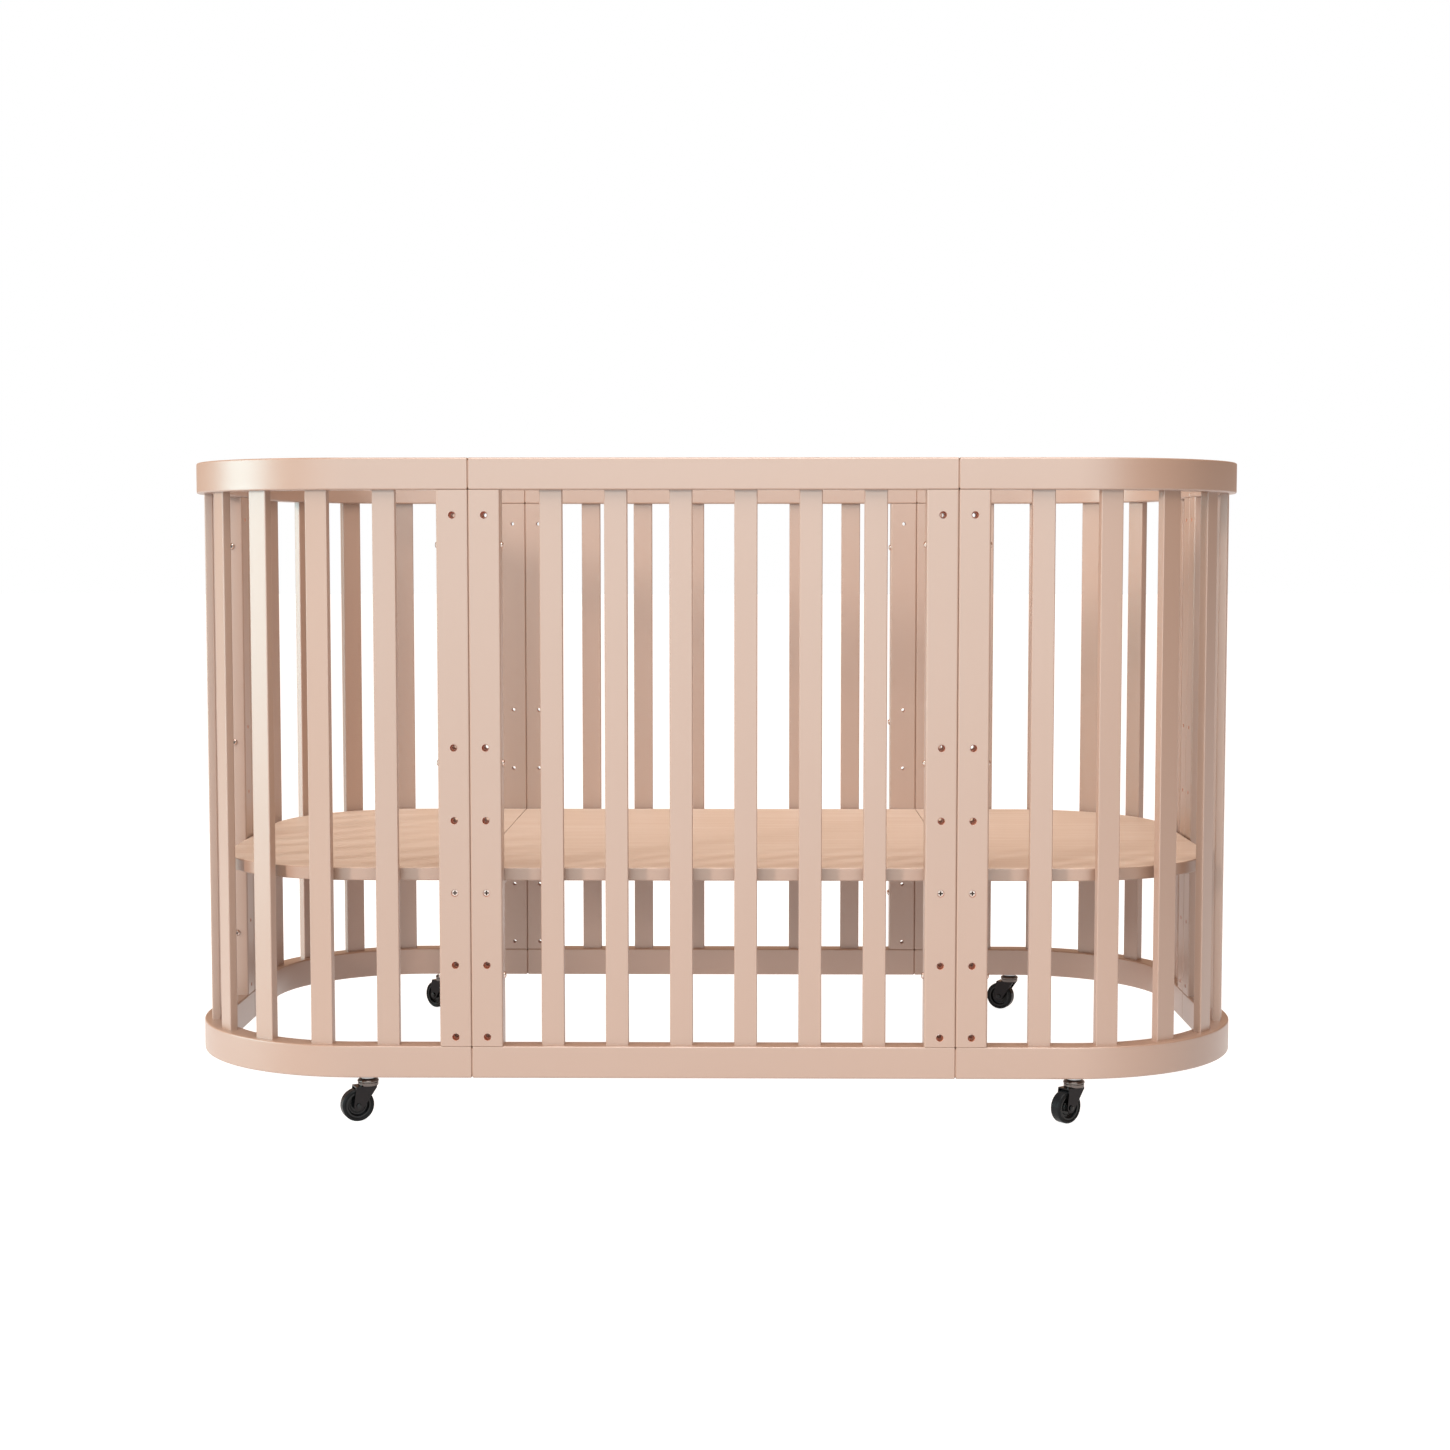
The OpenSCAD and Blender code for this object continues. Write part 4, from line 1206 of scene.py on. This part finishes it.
floor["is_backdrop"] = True


# %% Lights
def new_lamp(name, kind, place, target, energy, colour):
    """A lamp that faces a target."""
    data = bpy.data.lights.new(name, kind)
    data.energy = energy
    data.color = colour
    lamp = bpy.data.objects.new(name, data)
    lamp.location = place
    lamp.rotation_euler = (Vector(place) - Vector(target)).to_track_quat("Z", "Y").to_euler()
    bpy.context.scene.collection.objects.link(lamp)
    return lamp


def new_panel(name, place, target, energy, colour, width, height):
    """A rectangular lamp of a given size."""
    panel = new_lamp(name, "AREA", place, target, energy, colour)
    panel.data.shape = "RECTANGLE"
    panel.data.size = width
    panel.data.size_y = height


SUN_ANGLE = math.radians(8)
key = new_lamp("key", "SUN", place=(-3.0, -2.9, 1.35), target=(0, 0, 0.4), energy=2.4,
               colour=(0.95, 0.97, 1.0))
key.data.angle = SUN_ANGLE
key.visible_glossy = False
unlit_by_key = bpy.data.collections.new("unlit_by_key")
unlit_by_key.objects.link(floor)
key.light_linking.receiver_collection = unlit_by_key
unlit_by_key.collection_objects[0].light_linking.link_state = "EXCLUDE"
new_panel("above", place=(0.3, -1.3, 3.0), target=(0.2, 0.2, 0.4), energy=74, colour=(1.0, 0.98, 0.95),
          width=2.4, height=2.4)
new_panel("front", place=(-0.2, -4.8, 1.35), target=(0.1, 0, 0.6), energy=90, colour=(0.56, 0.90, 1.0),
          width=7.0, height=2.7)
new_panel("side", place=(-4.4, -0.7, 1.3), target=(-0.5, -0.1, 0.45), energy=78,
          colour=(0.54, 0.93, 1.0), width=2.6, height=2.6)

# %% Surround
SURROUND_LEFT = 0.78
SURROUND_RIGHT = 0.34
SURROUND_SEEN = 1.0
SURROUND_TINT = (1, 0.63, 0.43, 1)
world = bpy.data.worlds.new("surround")
bpy.context.scene.world = world
world.use_nodes = True
room = world.node_tree
direction = add(room, "ShaderNodeSeparateXYZ", {0: add(room, "ShaderNodeTexCoord").outputs["Generated"]})
fill_light = stretch(room, direction.outputs[0], -1.0, 1.0, SURROUND_LEFT, SURROUND_RIGHT)
seen = add(room, "ShaderNodeLightPath").outputs["Is Camera Ray"]
fill(room, room.nodes["Background"], {
    "Strength": between(room, seen, fill_light, SURROUND_SEEN),
    "Color": blend_colours(room, seen, SURROUND_TINT, WHITE),
})
bpy.context.scene.view_settings.view_transform = "Standard"

# %% Sizes of the construction and of the finished scene
seen_low, seen_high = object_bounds()
sizes = {"cad": [list(cad_low), list(cad_high)], "visual": [list(seen_low), list(seen_high)]}
